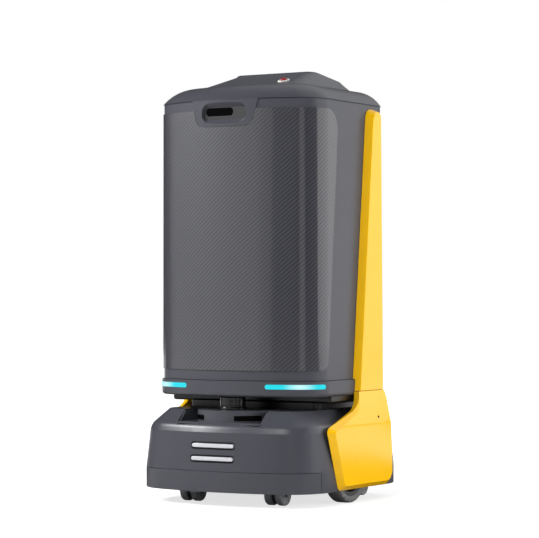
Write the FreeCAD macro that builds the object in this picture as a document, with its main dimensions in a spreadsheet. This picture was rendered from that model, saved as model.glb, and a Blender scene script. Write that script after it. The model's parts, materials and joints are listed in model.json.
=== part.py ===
import FreeCAD, Part
import math
import os
from collections import namedtuple
from types import SimpleNamespace

import Sketcher

# Indoor delivery robot. Millimetres, +Z up, front towards -Y, origin on the floor under the middle.

V = FreeCAD.Vector
NEAR = 0.01
# A cut runs this many walls deep, and a block this many outlines wide, to pass right through
THROUGH = 4
BEYOND = 2
# Sections of the cap between its edge and its crown
CAP_STEPS = 6

doc = FreeCAD.newDocument("DeliveryRobot")
sheet = doc.addObject("Spreadsheet::Sheet", "Sizes")

SIZES = (
    # Base: its overhang round the body, then the heights that stack up from the floor
    ("base_overhang", 21.5, "how far the base stands out beside the body"),
    ("base_front_overhang", 55.5, "how far the base stands out ahead of the body"),
    ("base_rear_overhang", 72.5, "how far the base stands out behind the body"),
    ("base_half_width", "=body_half_width + base_overhang", "half width of the base"),
    ("base_front", "=body_front + base_front_overhang", "front of the base, forward of the origin"),
    ("base_rear", "=body_rear + base_rear_overhang", "rear of the base, behind the origin"),
    ("base_bow", 662.0, "radius of the bowed front of the base"),
    ("base_corner", 111.0, "front corner radius of the base"),
    ("base_rear_corner", 110.0, "rear corner radius of the base"),
    ("base_bottom", 34.0, "height of the lower edge of the base covers"),
    ("skirt_height", 49.0, "height of the front skirt"),
    ("skirt_top", "=base_bottom + skirt_height", "height of the seam above the front skirt"),
    ("skirt_end", 168.0, "how far forward the skirt ends on each side"),
    ("wall_height", 92.0, "height of the wall from the skirt's seam to the shoulder"),
    ("shoulder_low", "=skirt_top + wall_height", "height of the lower shoulder crease"),
    ("shoulder_rise", 15.0, "height of the shoulder between its creases"),
    ("shoulder_high", "=shoulder_low + shoulder_rise", "height of the upper shoulder crease"),
    ("deck_rise", 36.0, "rise of the deck over the shoulder"),
    ("deck_top", "=shoulder_high + deck_rise", "height of the flat top of the deck"),
    ("wall_lean", 10.0, "inward lean of the base wall at the shoulder"),
    ("shoulder_inset", 16.0, "inset of the upper shoulder crease"),
    ("deck_inset", 58.0, "inset of the deck top"),
    ("deck_round", 24.0, "rounding of the upper shoulder crease"),
    ("shoulder_round", 3.0, "rounding of the lower shoulder crease"),
    ("deck_edge_round", 10.0, "rounding of the deck's edge"),
    ("cover_wall", 4.0, "wall of the base covers"),
    ("cover_seam", 0.8, "seam between base covers"),
    ("deck_hole_margin", 11.5, "flat deck beside the opening under the neck"),
    ("deck_hole_half_width", "=base_half_width - deck_inset - deck_hole_margin", "half width of it"),
    ("deck_bridge", 36.0, "deck between the sensor pod and that opening"),
    ("deck_hole_front", "=pod_rear - deck_bridge", "front end of that opening"),
    ("deck_hole_rear_inset", 33.5, "how far that opening ends ahead of the body's rear"),
    ("deck_hole_rear", "=body_rear - deck_hole_rear_inset", "rear end of that opening"),
    ("deck_hole_corner", 12.0, "corner radius of that opening"),
    # Sensor pod in the deck
    ("pod_half_width", 118.0, "half width of the recess in the deck"),
    ("pod_front_inset", 24.0, "how far the recess begins behind the base's front"),
    ("pod_front", "=base_front - pod_front_inset", "front edge of the recess"),
    ("pod_length", 136.0, "length of the recess"),
    ("pod_rear", "=pod_front - pod_length", "rear edge of the recess"),
    ("pod_depth", 28.0, "depth of the recess"),
    ("pod_floor", "=deck_top - pod_depth", "height of the recess floor"),
    ("pod_floor_wall", 4.0, "thickness of the recess floor and sides"),
    ("pod_corner", 10.0, "corner radius of the recess"),
    ("pod_drum_radius", 100.0, "radius of the curved sensor wall"),
    ("pod_drum_setback", 103.0, "how far that wall's centre lies behind the recess's front"),
    ("pod_drum_centre", "=pod_front - pod_drum_setback", "centre of that wall, forward of the origin"),
    ("pod_fit", 0.3, "clearance of the pod in the deck"),
    ("window_turn", 45.0, "direction of a depth window, off straight ahead"),
    ("window_length", 68.0, "length of a depth window"),
    ("window_height", 12.0, "height of a depth window"),
    ("window_rise", 10.0, "rise of the windows' middle over the recess floor"),
    ("window_middle", "=pod_floor + window_rise", "height of the windows' middle"),
    ("window_depth", 14.0, "depth of a depth window block"),
    # Front lamps
    ("bar_half_length", 58.0, "half length of a light bar"),
    ("bar_height", 9.5, "height of a light bar"),
    ("bar_round", 2.0, "edge rounding of a light bar"),
    ("bar_end_round", 4.4, "rounding of a light bar's ends, seen from ahead"),
    ("bar_rise", 30.0, "rise of the lower light bar over the skirt's seam"),
    ("bar_low", "=skirt_top + bar_rise", "height of the lower light bar"),
    ("bar_pitch", 31.0, "spacing of the light bars"),
    ("bar_high", "=bar_low + bar_pitch", "height of the upper light bar"),
    ("bar_proud", 2.0, "how far a bar stands out from the wall"),
    ("bar_slot_margin", 4.5, "margin of the wall's slot round a bar"),
    ("lamp_tray_margin", 14.0, "margin of the tray round the bars"),
    ("lamp_tray_depth", 6.0, "depth of the tray"),
    ("lamp_fit", 0.25, "clearance between the tray and the wall"),
    # Lidar
    ("lidar_ahead", 28.0, "how far the lidar's axis lies ahead of the curved wall's centre"),
    ("lidar_forward", "=pod_drum_centre + lidar_ahead", "lidar axis, forward of the origin"),
    ("lidar_radius", 31.0, "radius of the lidar head"),
    ("lidar_base_radius", 34.0, "radius of the lidar base"),
    ("lidar_base_height", 7.0, "height of the lidar base"),
    ("lidar_headroom", 2.0, "room over the lidar head"),
    ("lidar_head_height", "=ring_bottom - deck_top - lidar_base_height - lidar_headroom",
     "height of the lidar head"),
    ("lidar_gap", 0.5, "running gap under the lidar head"),
    ("lidar_window_low", 3.5, "rise of the scanning window's lower edge over the lidar base"),
    ("lidar_window_drop", 6.5, "cap of the lidar head above its window"),
    ("lidar_window_sunk", 1.5, "how far the window lies behind the head's surface"),
    ("lidar_spindle", 4.0, "radius of the lidar spindle"),
    ("lidar_spindle_depth", 5.0, "length of the spindle in the base"),
    ("lidar_round", 2.0, "edge rounding of the lidar head"),
    ("running_fit", 0.05, "radial clearance of a running shaft"),
    # Neck
    ("neck_side_inset", 1.0, "how far the neck plate ends inside the body's side"),
    ("neck_half_width", "=body_half_width - neck_side_inset", "half width of the neck plate"),
    ("neck_lip", 19.0, "how far the plate reaches past the deck's opening, ahead and behind"),
    ("neck_front", "=deck_hole_front + neck_lip", "front edge of the neck plate"),
    ("neck_rear", "=deck_hole_rear + neck_lip", "rear edge of the neck plate"),
    ("neck_corner", 7.0, "corner radius of the neck plate"),
    ("collar_height", 16.0, "height of the neck collar"),
    ("neck_plate_bottom", "=deck_top + collar_height", "height of the neck plate's underside"),
    ("neck_plate_thickness", 17.0, "thickness of the neck plate"),
    ("neck_plate_round", 6.0, "rounding of the plate's lower edge"),
    ("collar_wall", 6.0, "wall of the neck collar"),
    ("post_size", 30.0, "side of a frame post"),
    ("post_space", 7.0, "space between the posts and the edge of the deck's opening"),
    ("post_x", "=deck_hole_half_width - post_size / 2 - post_space", "frame posts, sideways of the origin"),
    ("post_front", "=deck_hole_front - post_size / 2 - post_space", "front posts, forward of the origin"),
    ("post_rear", "=deck_hole_rear - post_size / 2 - post_space", "rear posts, behind the origin"),
    ("post_bore", 9.0, "radius of the hollow of a frame post"),
    # Body outline and heights
    ("body_half_width", 227.0, "half width of the body shell"),
    ("body_front", 214.5, "front of the body shell"),
    ("body_rear", 197.5, "rear of the body shell"),
    ("body_bow", 458.0, "radius of the bowed front of the body"),
    ("body_corner", 79.0, "front corner radius of the body"),
    ("body_rear_corner", 55.0, "rear corner radius of the body"),
    ("ring_bottom", "=neck_plate_bottom + neck_plate_thickness", "height of the underside of the body ring"),
    ("ring_height", 38.0, "height of the body ring"),
    ("ring_top", "=ring_bottom + ring_height", "height of the seam above the body ring"),
    ("ring_proud", 5.0, "how far the ring stands out from the shell"),
    ("ring_inside", 14.0, "how far the ring reaches inside the shell's face"),
    ("ring_round", 8.0, "rounding of the ring's lower edge"),
    ("floor_thickness", 8.0, "thickness of the body floor"),
    ("floor_fit", 0.3, "clearance of the floor in the ring"),
    ("shell_height", 675.0, "height of the body shell"),
    ("body_top", "=ring_top + shell_height", "height of the seam under the cap"),
    ("shell_wall", 4.0, "wall of the body shell"),
    ("seam_chamfer", 1.2, "chamfer that shows as a seam line"),
    # Light strips in the ring
    ("led_rise", 19.0, "rise of the light strips over the ring's underside"),
    ("led_low", "=ring_bottom + led_rise", "lower edge of the light strips"),
    ("led_height", 11.5, "height of the light strips"),
    ("led_high", "=led_low + led_height", "upper edge of the light strips"),
    ("led_inner_end", 111.0, "front end of a strip, sideways of the origin"),
    ("led_setback", 92.5, "how far a strip's side end lies behind the body's front"),
    ("led_side_end", "=body_front - led_setback", "side end of a strip, forward of the origin"),
    ("led_end_round", 5.4, "rounding of a strip's ends"),
    ("led_depth", 3.2, "depth of the strip's channel"),
    ("led_proud", 0.3, "how far a strip stands out of its channel"),
    ("led_fit", 0.2, "clearance of a strip in its channel"),
    # Front panel
    ("panel_foot", 25.0, "shell below the front panel"),
    ("panel_low", "=ring_top + panel_foot", "lower edge of the front panel"),
    ("panel_head", 24.0, "shell above the front panel"),
    ("panel_high", "=body_top - panel_head", "upper edge of the front panel"),
    ("panel_proud", 2.5, "thickness of the front panel"),
    ("panel_fit", 0.1, "gap between the panel and the shell"),
    ("panel_low_end", 109.0, "lower side end of the panel, forward of the origin"),
    ("panel_high_end", 58.0, "upper side end of the panel, forward of the origin"),
    ("panel_low_round", 26.0, "lower corner radius of the panel"),
    ("panel_high_round", 48.0, "upper corner radius of the panel"),
    # Camera bib in the top of the front panel
    ("bib_top_half", 93.0, "half width of the bib at the cap"),
    ("bib_low_half", 76.0, "half width of the bib at its lower corners"),
    ("bib_height", 65.0, "height of the bib"),
    ("bib_low", "=body_top - bib_height", "lower edge of the bib"),
    ("bib_round", 26.0, "lower corner radius of the bib"),
    ("bib_depth", 26.0, "depth of the bib behind the shell's front"),
    ("bib_proud", 2.0, "how far the bib stands out from the shell"),
    ("bib_fit", 0.6, "seam round the bib"),
    ("bib_pocket_half", 65.0, "half width of the bib's recess"),
    ("bib_pocket_foot", 7.0, "bib below its recess"),
    ("bib_pocket_low", "=bib_low + bib_pocket_foot", "lower edge of the recess"),
    ("bib_pocket_head", 6.0, "bib above its recess"),
    ("bib_pocket_high", "=body_top - bib_pocket_head", "upper edge of the recess"),
    ("bib_pocket_depth", 11.0, "depth of the recess"),
    ("bib_pocket_draft", 11.0, "inward slope of the recess's upper and lower walls"),
    ("bib_pocket_side_draft", 4.0, "inward slope of the recess's ends"),
    ("camera_middle", -16.0, "middle of the camera window, sideways"),
    ("camera_half", 38.5, "half width of the camera window"),
    ("camera_rise", 26.0, "rise of the camera window over the bib's lower edge"),
    ("camera_low", "=bib_low + camera_rise", "lower edge of the camera window"),
    ("camera_height", 20.0, "height of the camera window"),
    ("camera_high", "=camera_low + camera_height", "upper edge of the camera window"),
    ("camera_thickness", 3.0, "thickness of the camera window"),
    ("camera_sunk", 1.0, "how far the window lies in its slot"),
    # Cap and console
    ("cap_radius", 100.0, "radius of the cap's dome, seen from the side"),
    ("cap_inset", 80.0, "run of the dome from the cap's edge to its crown"),
    ("cap_rear_share", 0.1, "share of that run at the rear"),
    ("cap_crown_corner", 36.0, "corner radius of the crown"),
    ("cap_crown", "=body_top + cap_radius - sqrt(cap_radius * cap_radius - cap_inset * cap_inset)",
     "height of the flat crown"),
    ("cap_wall", 4.0, "wall of the cap"),
    ("console_side_margin", 3.5, "crown beside the console's foot"),
    ("console_foot_half", "=body_half_width + panel_proud - cap_inset - console_side_margin",
     "half width of the console's foot"),
    ("console_front_margin", 27.0, "crown ahead of the console's foot"),
    ("console_foot_front", "=body_front + panel_proud - cap_inset - console_front_margin",
     "front of the console's foot"),
    ("console_rear_margin", 14.0, "how far the foot ends ahead of the body's rear"),
    ("console_foot_rear", "=body_rear - console_rear_margin", "rear of the console's foot"),
    ("console_foot_corner", 38.0, "corner radius of the foot"),
    ("console_side_lean", 26.0, "inward lean of the console's sides"),
    ("console_top_half", "=console_foot_half - console_side_lean", "half width of the console's top"),
    ("console_front_run", 125.0, "run of the console's front slope"),
    ("console_top_front", "=console_foot_front - console_front_run", "front edge of the console's top"),
    ("console_rear_lean", 8.0, "lean of the console's rear"),
    ("console_top_rear", "=console_foot_rear - console_rear_lean", "rear edge of the console's top"),
    ("console_top_corner", 28.0, "corner radius of the top"),
    ("console_rise", 43.0, "rise of the top's front edge over the crown"),
    ("console_high", "=cap_crown + console_rise", "height of the top's front edge"),
    ("console_drop", 20.0, "fall of the top towards the rear"),
    ("console_low", "=console_high - console_drop", "height of the top's rear edge"),
    ("console_rim", 5.0, "chamfer round the console's top"),
    ("console_wall", 4.0, "wall of the console"),
    ("display_margin", 14.0, "margin round the display glass"),
    ("display_round", 8.0, "corner radius of the display glass"),
    ("display_thickness", 2.0, "thickness of the display glass"),
    ("display_fit", 0.3, "clearance round the display glass"),
    # Emergency stop on the console's front slope
    ("estop_inset", 38.0, "emergency stop, inward of the console top's side"),
    ("estop_x", "=console_top_half - estop_inset", "emergency stop, sideways of the origin"),
    ("estop_up", 0.33, "its place up the console's front slope, as a share"),
    ("estop_collar_radius", 15.0, "radius of the collar"),
    ("estop_collar_height", 2.6, "height of the collar"),
    ("estop_neck_radius", 12.0, "radius of the collar's neck"),
    ("estop_neck_depth", 7.2, "depth of the collar's neck"),
    ("estop_button_radius", 9.0, "radius of the button"),
    ("estop_button_proud", 4.4, "how far the button stands above the collar"),
    ("estop_button_depth", 3.4, "length of the button in the collar"),
    ("estop_dome", 3.6, "rounding of the button's edge"),
    ("estop_fit", 0.1, "radial clearance of the button and of the neck"),
    # Side fins: inner outline against the body and base, and outer face
    ("fin_seam_rise", 9.0, "rise of the fins' seam over the ring's underside"),
    ("fin_seam", "=ring_bottom + fin_seam_rise", "height of the seam between the fins"),
    ("fin_top_drop", 10.0, "how far the upper fin ends below the cap"),
    ("fin_top", "=body_top - fin_top_drop", "top of the upper fin"),
    ("fin_top_front", -80.0, "front of the upper fin at its top, forward of the origin"),
    ("fin_seam_front", -12.0, "front of the fins at their seam"),
    ("fin_seam_rear", 141.0, "rear of the fins at their seam"),
    ("fin_top_rear", 131.0, "rear of the upper fin at its top"),
    ("fin_top_round", 26.0, "front corner radius at the upper fin's top"),
    ("fin_top_rear_round", 16.0, "rear corner radius at the upper fin's top"),
    ("fin_upper_proud", 19.5, "how far the upper fin stands out from the body"),
    ("fin_upper_face", "=body_half_width + fin_upper_proud", "outer face of the upper fin"),
    ("fin_front_chamfer", 9.0, "run of the chamfer on the upper fin's front"),
    ("fin_rear_chamfer", 4.0, "run of the chamfer on the upper fin's rear"),
    ("fin_top_chamfer", 8.0, "run of the chamfer on the upper fin's top"),
    ("fin_gap", 0.3, "gap between a fin and what it lies on"),
    ("fin_lower_proud", 15.5, "how far the lower fin stands out from the base"),
    ("fin_lower_face", "=base_half_width + fin_lower_proud", "outer face of the lower fin"),
    ("fin_rim_proud", 1.5, "how far the lower fin's rim stands out from the base"),
    ("fin_rim", "=base_half_width + fin_rim_proud", "where the lower fin's chamfer begins"),
    ("fin_waist_rise", 13.0, "rise of the lower fin's crease over the shoulder"),
    ("fin_waist", "=shoulder_low + fin_waist_rise", "height where the lower fin leans in"),
    ("fin_flare_front", -2.0, "corner of the flare, forward of the origin"),
    ("fin_flare_rise", 4.0, "rise of that corner over the deck"),
    ("fin_flare", "=deck_top + fin_flare_rise", "height of that corner"),
    ("fin_flare_round", 60.0, "radius of the flare"),
    ("fin_nose", 152.0, "foremost point of the lower fin"),
    ("fin_nose_rise", 9.0, "rise of that point over the shoulder"),
    ("fin_nose_height", "=shoulder_low + fin_nose_rise", "height of that point"),
    ("fin_nose_round", 14.0, "rounding of that point"),
    ("fin_toe", 96.0, "front of the lower fin at its lower edge"),
    ("fin_bottom_rise", 1.0, "rise of the lower fin's edge over the base's"),
    ("fin_bottom", "=base_bottom + fin_bottom_rise", "lower edge of the lower fin"),
    ("fin_toe_round", 16.0, "rounding of the front lower corner"),
    ("fin_heel", 168.0, "rear of the lower fin"),
    ("fin_heel_rise", 83.0, "height of the upright part of the lower fin's rear"),
    ("fin_heel_height", "=fin_bottom + fin_heel_rise", "height where the rear begins to lean"),
    ("fin_heel_round", 30.0, "rounding of the rear lower corner"),
    ("fin_waist_rear", 161.0, "rear of the lower fin at its waist"),
    ("fin_chamfer", 17.0, "run of the lower fin's chamfer"),
    ("fin_sole_share", 0.65, "share of that run along the lower edge"),
    ("fin_corner_share", 0.33, "share of that run by which the corners tighten"),
    ("fin_skin", 4.5, "wall of the fins"),
    ("fin_hollow_margin", 10.0, "margin round the hollow inside a fin"),
    ("fin_hollow_round", 8.0, "corner radius of that hollow"),
    # Chassis plate and what it carries
    ("chassis_bottom", "=castor_crown + castor_gap + castor_cup_height + castor_plate_thickness",
     "height of the chassis plate's underside"),
    ("chassis_thickness", 6.0, "thickness of the chassis plate"),
    ("chassis_fit", 0.3, "clearance of the chassis plate in the covers"),
    ("battery_space", 22.0, "space between the battery pack and the posts"),
    ("battery_half_width", "=post_x - post_size / 2 - battery_space", "half width of the battery pack"),
    ("battery_front", -30.0, "front face of the battery pack, forward of the origin"),
    ("battery_rear", 200.0, "rear face of the battery pack"),
    ("battery_height", 95.0, "height of the battery pack"),
    ("battery_round", 6.0, "edge rounding of the battery pack"),
    ("control_half_width", 95.0, "half width of the control box"),
    ("control_front", 200.0, "front of the control box"),
    ("control_rear", 60.0, "rear of the control box, forward of the origin"),
    ("control_height", 60.0, "height of the control box"),
    ("control_fin_pitch", 16.0, "pitch of the control box's cooling ribs"),
    ("control_fin_depth", 8.0, "depth of the gaps between the ribs"),
    ("contact_half_width", 24.0, "half width of a charging contact"),
    ("contact_height", 12.0, "height of a charging contact"),
    ("contact_x", 58.0, "middle of a contact, sideways of the origin"),
    ("contact_rise", 24.0, "rise of a contact's middle over the covers' lower edge"),
    ("contact_z", "=base_bottom + contact_rise", "height of a contact's middle"),
    ("contact_thickness", 6.0, "thickness of a contact"),
    ("contact_sunk", 0.6, "how far a contact lies behind the rear face"),
    ("contact_fit", 0.3, "clearance round a contact"),
    # Drive wheels
    ("wheel_inset", 28.5, "how far a drive wheel's middle lies inside the base's side"),
    ("wheel_x", "=base_half_width - wheel_inset", "middle plane of a drive wheel"),
    ("wheel_forward", 10.0, "drive axle, forward of the origin"),
    ("wheel_radius", 75.0, "radius of a drive wheel"),
    ("wheel_width", 40.0, "width of a drive wheel"),
    ("tyre_inner", 58.0, "radius of the tyre's seat"),
    ("tyre_round", 9.0, "shoulder radius of the tyre"),
    ("hub_width", 34.0, "width of a hub"),
    ("hub_boss", 20.0, "radius of the hub's boss"),
    ("hub_dish", 7.0, "depth of the dish in a hub"),
    ("hub_rim", 8.0, "width of the hub's rim"),
    ("axle_radius", 8.0, "radius of a drive axle"),
    ("axle_shoulder", 14.0, "radius of the axle's shoulder"),
    ("axle_side_gap", 0.5, "side clearance of a hub"),
    ("axle_head", 3.0, "thickness of the head that keeps a hub on"),
    ("arch_gap", 9.0, "clearance of the wheel arch"),
    ("bracket_thickness", 10.0, "thickness of a drive bracket"),
    ("bracket_half", 26.0, "half length of a drive bracket"),
    ("bracket_rise", 47.0, "rise of a drive bracket over its axle"),
    ("bracket_high", "=wheel_radius + bracket_rise", "top of a drive bracket"),
    ("bracket_drop", 25.0, "drop of a drive bracket below its axle"),
    ("bracket_low", "=wheel_radius - bracket_drop", "lower end of a drive bracket"),
    ("bracket_foot", 60.0, "width of a bracket's foot"),
    ("bracket_space", 4.0, "space between a bracket and its wheel"),
    # Castors
    ("castor_front_x", 120.0, "front castor stems, sideways of the origin"),
    ("castor_front_y", 181.0, "front castor stems, forward of the origin"),
    ("castor_rear_x", 142.0, "rear castor stems, sideways of the origin"),
    ("castor_rear_y", 164.0, "rear castor stems, behind the origin"),
    ("castor_trail", 20.0, "how far a castor's wheels trail its stem"),
    ("castor_radius", 25.0, "radius of a castor wheel"),
    ("castor_wheel_width", 19.0, "width of a castor wheel"),
    ("castor_wheel_round", 4.0, "tread rounding of a castor wheel"),
    ("castor_web_half", 5.0, "half thickness of the web between the wheels"),
    ("castor_side_gap", 0.6, "side clearance of a castor wheel"),
    ("castor_hood", 20.0, "radius of the web round the axle"),
    ("castor_axle", 3.0, "radius of a castor axle"),
    ("castor_head", 5.5, "radius of an axle head"),
    ("castor_head_depth", 1.4, "thickness of an axle head"),
    ("castor_recess", 13.0, "radius of the dish in a castor wheel"),
    ("castor_recess_depth", 2.2, "depth of that dish"),
    ("castor_headroom", 1.0, "room between a castor's wheels and its crown"),
    ("castor_crown", "=castor_radius * 2 + castor_headroom + castor_crown_thickness",
     "height of a fork's crown"),
    ("castor_crown_radius", 16.0, "radius of a fork's crown"),
    ("castor_crown_thickness", 3.5, "thickness of a fork's crown"),
    ("castor_stem", 5.0, "radius of a castor stem"),
    ("castor_cup", 15.0, "radius of a castor mount's cup"),
    ("castor_cup_height", 6.0, "height of a castor mount's cup"),
    ("castor_gap", 0.5, "gap between a fork's crown and its mount"),
    ("castor_plate_half", 27.0, "half side of a castor mount's plate"),
    ("castor_plate_thickness", 3.0, "thickness of a castor mount's plate"),
    ("castor_bolt_half", 20.0, "half spacing of a castor's screws"),
    ("screw_radius", 2.5, "radius of a castor screw"),
    ("screw_head", 4.2, "radius of a screw head"),
    ("screw_head_height", 2.6, "height of a screw head"),
    # Cargo bin and rear door
    ("bin_half_width", 156.0, "half width inside the cargo bin"),
    ("bin_floor_rise", 29.0, "rise of the bin's floor over the ring"),
    ("bin_floor", "=ring_top + bin_floor_rise", "height of the floor inside the bin"),
    ("bin_head", 30.0, "drop of the bin's ceiling below the cap"),
    ("bin_ceiling", "=body_top - bin_head", "height of the ceiling inside the bin"),
    ("bin_front_space", 67.5, "space between the bin and the body's front"),
    ("bin_front", "=body_front - bin_front_space", "front wall inside the bin, forward of the origin"),
    ("bin_wall", 3.0, "wall of the cargo bin"),
    ("bin_corner", 14.0, "corner radius inside the bin"),
    ("rail_width", 34.0, "width of a rail under the bin"),
    ("rail_x", 80.0, "inner side of a rail under the bin"),
    ("shelf_height", 314.0, "rise of the shelf's upper face over the bin's floor"),
    ("shelf_top", "=bin_floor + shelf_height", "height of the shelf's upper face"),
    ("shelf_thickness", 12.0, "thickness of the shelf"),
    ("shelf_fit", 0.5, "clearance round the shelf"),
    ("ledge_size", 10.0, "side of the ledges that carry the shelf"),
    ("door_lap", 7.0, "lap of the rear door past the bin's mouth"),
    ("door_half_width", "=bin_half_width + door_lap", "half width of the rear door"),
    ("door_low", "=bin_floor - door_lap", "lower edge of the rear door"),
    ("door_high", "=bin_ceiling + door_lap", "upper edge of the rear door"),
    ("door_thickness", 16.0, "thickness of the rear door"),
    ("door_gap", 1.5, "gap round the rear door"),
    ("door_seat_gap", 0.4, "gap between the closed door and its frame"),
    ("door_edge_round", 2.0, "edge rounding of the rear door"),
    ("frame_depth", 20.0, "depth of the door frame behind the door"),
    ("frame_margin", 8.0, "width of the frame round the door"),
    ("hinge_pin", 3.0, "radius of a hinge pin"),
    ("hinge_pin_depth", 18.0, "length of a pin inside the door"),
    ("handle_inset", 31.0, "pull handle, inward of the door's edge"),
    ("handle_x", "=door_half_width - handle_inset", "pull handle, sideways of the origin"),
    ("handle_rise", 104.0, "rise of the pull handle over the bin's floor"),
    ("handle_low", "=bin_floor + handle_rise", "lower end of the pull handle"),
    ("handle_length", 210.0, "length of the pull handle"),
    ("handle_high", "=handle_low + handle_length", "upper end of the pull handle"),
    ("handle_reach", 34.0, "how far the handle stands off the door"),
    ("handle_width", 18.0, "width of the handle"),
    ("handle_bar", 11.0, "thickness of the handle's bar"),
    ("handle_round", 4.0, "edge rounding of the handle"),
)

for row, (alias, _, meaning) in enumerate(SIZES, start=1):
    sheet.set("A%d" % row, meaning)
    sheet.setAlias("B%d" % row, alias)
for row, (_, content, _) in enumerate(SIZES, start=1):
    sheet.set("B%d" % row, content if isinstance(content, str) else repr(content))
doc.recompute()


# A size carries its value and the sheet expression it comes from

def text_of(item):
    return item.text if isinstance(item, Size) else repr(item)


def value_of(item):
    return item.value if isinstance(item, Size) else item


class Size:
    def __init__(self, text, value):
        self.text = text
        self.value = value

    def __add__(self, other):
        return Size("(%s + %s)" % (self.text, text_of(other)), self.value + value_of(other))

    def __sub__(self, other):
        return Size("(%s - %s)" % (self.text, text_of(other)), self.value - value_of(other))

    def __mul__(self, other):
        return Size("(%s * %s)" % (self.text, text_of(other)), self.value * value_of(other))

    def __truediv__(self, other):
        return Size("(%s / %s)" % (self.text, text_of(other)), self.value / value_of(other))

    def __neg__(self):
        return Size("(0 - %s)" % self.text, -self.value)


ZERO = Size("0", 0.0)


def angle_of(rise, run):
    ratio = rise / run
    return Size("atan(%s)" % ratio.text, math.degrees(math.atan(ratio.value)))


def arc_angle(half_chord, radius):
    """Half of the angle that an arc takes up over a chord."""
    ratio = half_chord / radius
    return Size("asin(%s)" % ratio.text, math.degrees(math.asin(ratio.value)))


def hypot_of(rise, run):
    square = rise * rise + run * run
    return Size("sqrt(%s)" % square.text, math.sqrt(square.value))


def leg_of(long_side, leg):
    square = long_side * long_side - leg * leg
    return Size("sqrt(%s)" % square.text, math.sqrt(square.value))


def sine(angle):
    return Size("sin(%s)" % angle.text, math.sin(math.radians(angle.value)))


def cosine(angle):
    return Size("cos(%s)" % angle.text, math.cos(math.radians(angle.value)))


S = SimpleNamespace(**{alias: Size("Sizes." + alias, float(sheet.get(alias))) for alias, _, _ in SIZES})

Plan = namedtuple("Plan", "half_width front rear bow corner rear_corner")
BODY = Plan(S.body_half_width, S.body_front, S.body_rear, S.body_bow, S.body_corner, S.body_rear_corner)
BASE = Plan(S.base_half_width, S.base_front, S.base_rear, S.base_bow, S.base_corner, S.base_rear_corner)


def grown(plan, by):
    return Plan(*(size + by for size in plan))


def shrunk(plan, by):
    return Plan(*(size - by for size in plan))


# Sketches

def bind(thing, path, size):
    thing.setExpression(path, text_of(size))


def new_body(label):
    body = doc.addObject("PartDesign::Body", "".join(word.capitalize() for word in label.split("_")))
    body.Label = label
    return body


def new_sketch(body, role, offset=None, tilt=None):
    """Sketch on one of the body's planes, moved along its normal or, with tilt, to (y, z, angle about X)."""
    sketch = body.newObject("Sketcher::SketchObject", body.Name + "Sketch")
    plane = next(item for item in body.Origin.OriginFeatures if item.Role == role)
    sketch.AttachmentSupport = [(plane, "")]
    sketch.MapMode = "FlatFace"
    if offset is not None:
        sketch.AttachmentOffset = FreeCAD.Placement(V(0, 0, offset.value), FreeCAD.Rotation())
        bind(sketch, "AttachmentOffset.Base.z", offset)
    if tilt is not None:
        along, up, angle = tilt
        turn = FreeCAD.Rotation(V(1, 0, 0), angle.value)
        sketch.AttachmentOffset = FreeCAD.Placement(V(0, along.value, up.value), turn)
        bind(sketch, "AttachmentOffset.Base.y", along)
        bind(sketch, "AttachmentOffset.Base.z", up)
        bind(sketch, "AttachmentOffset.Rotation.Angle", angle)
    return sketch


def constrain(sketch, kind, *refs, size=None):
    if size is None:
        return sketch.addConstraint(Sketcher.Constraint(kind, *refs))
    index = sketch.addConstraint(Sketcher.Constraint(kind, *refs, value_of(size)))
    if isinstance(size, Size):
        bind(sketch, "Constraints[%d]" % index, size)
    return index


def pin_point(sketch, geometry, position, x, y):
    """Hold a point at (x, y); a plain 0 lies on the axis."""
    for kind, axis, size in (("DistanceX", -2, x), ("DistanceY", -1, y)):
        if isinstance(size, Size):
            constrain(sketch, kind, -1, 1, geometry, position, size=size)
        else:
            constrain(sketch, "PointOnObject", geometry, position, axis)


def draw_circle(sketch, x, y, radius):
    centre = V(value_of(x), value_of(y), 0)
    circle = sketch.addGeometry(Part.Circle(centre, V(0, 0, 1), radius.value), False)
    pin_point(sketch, circle, 3, x, y)
    constrain(sketch, "Radius", circle, size=radius)


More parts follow.
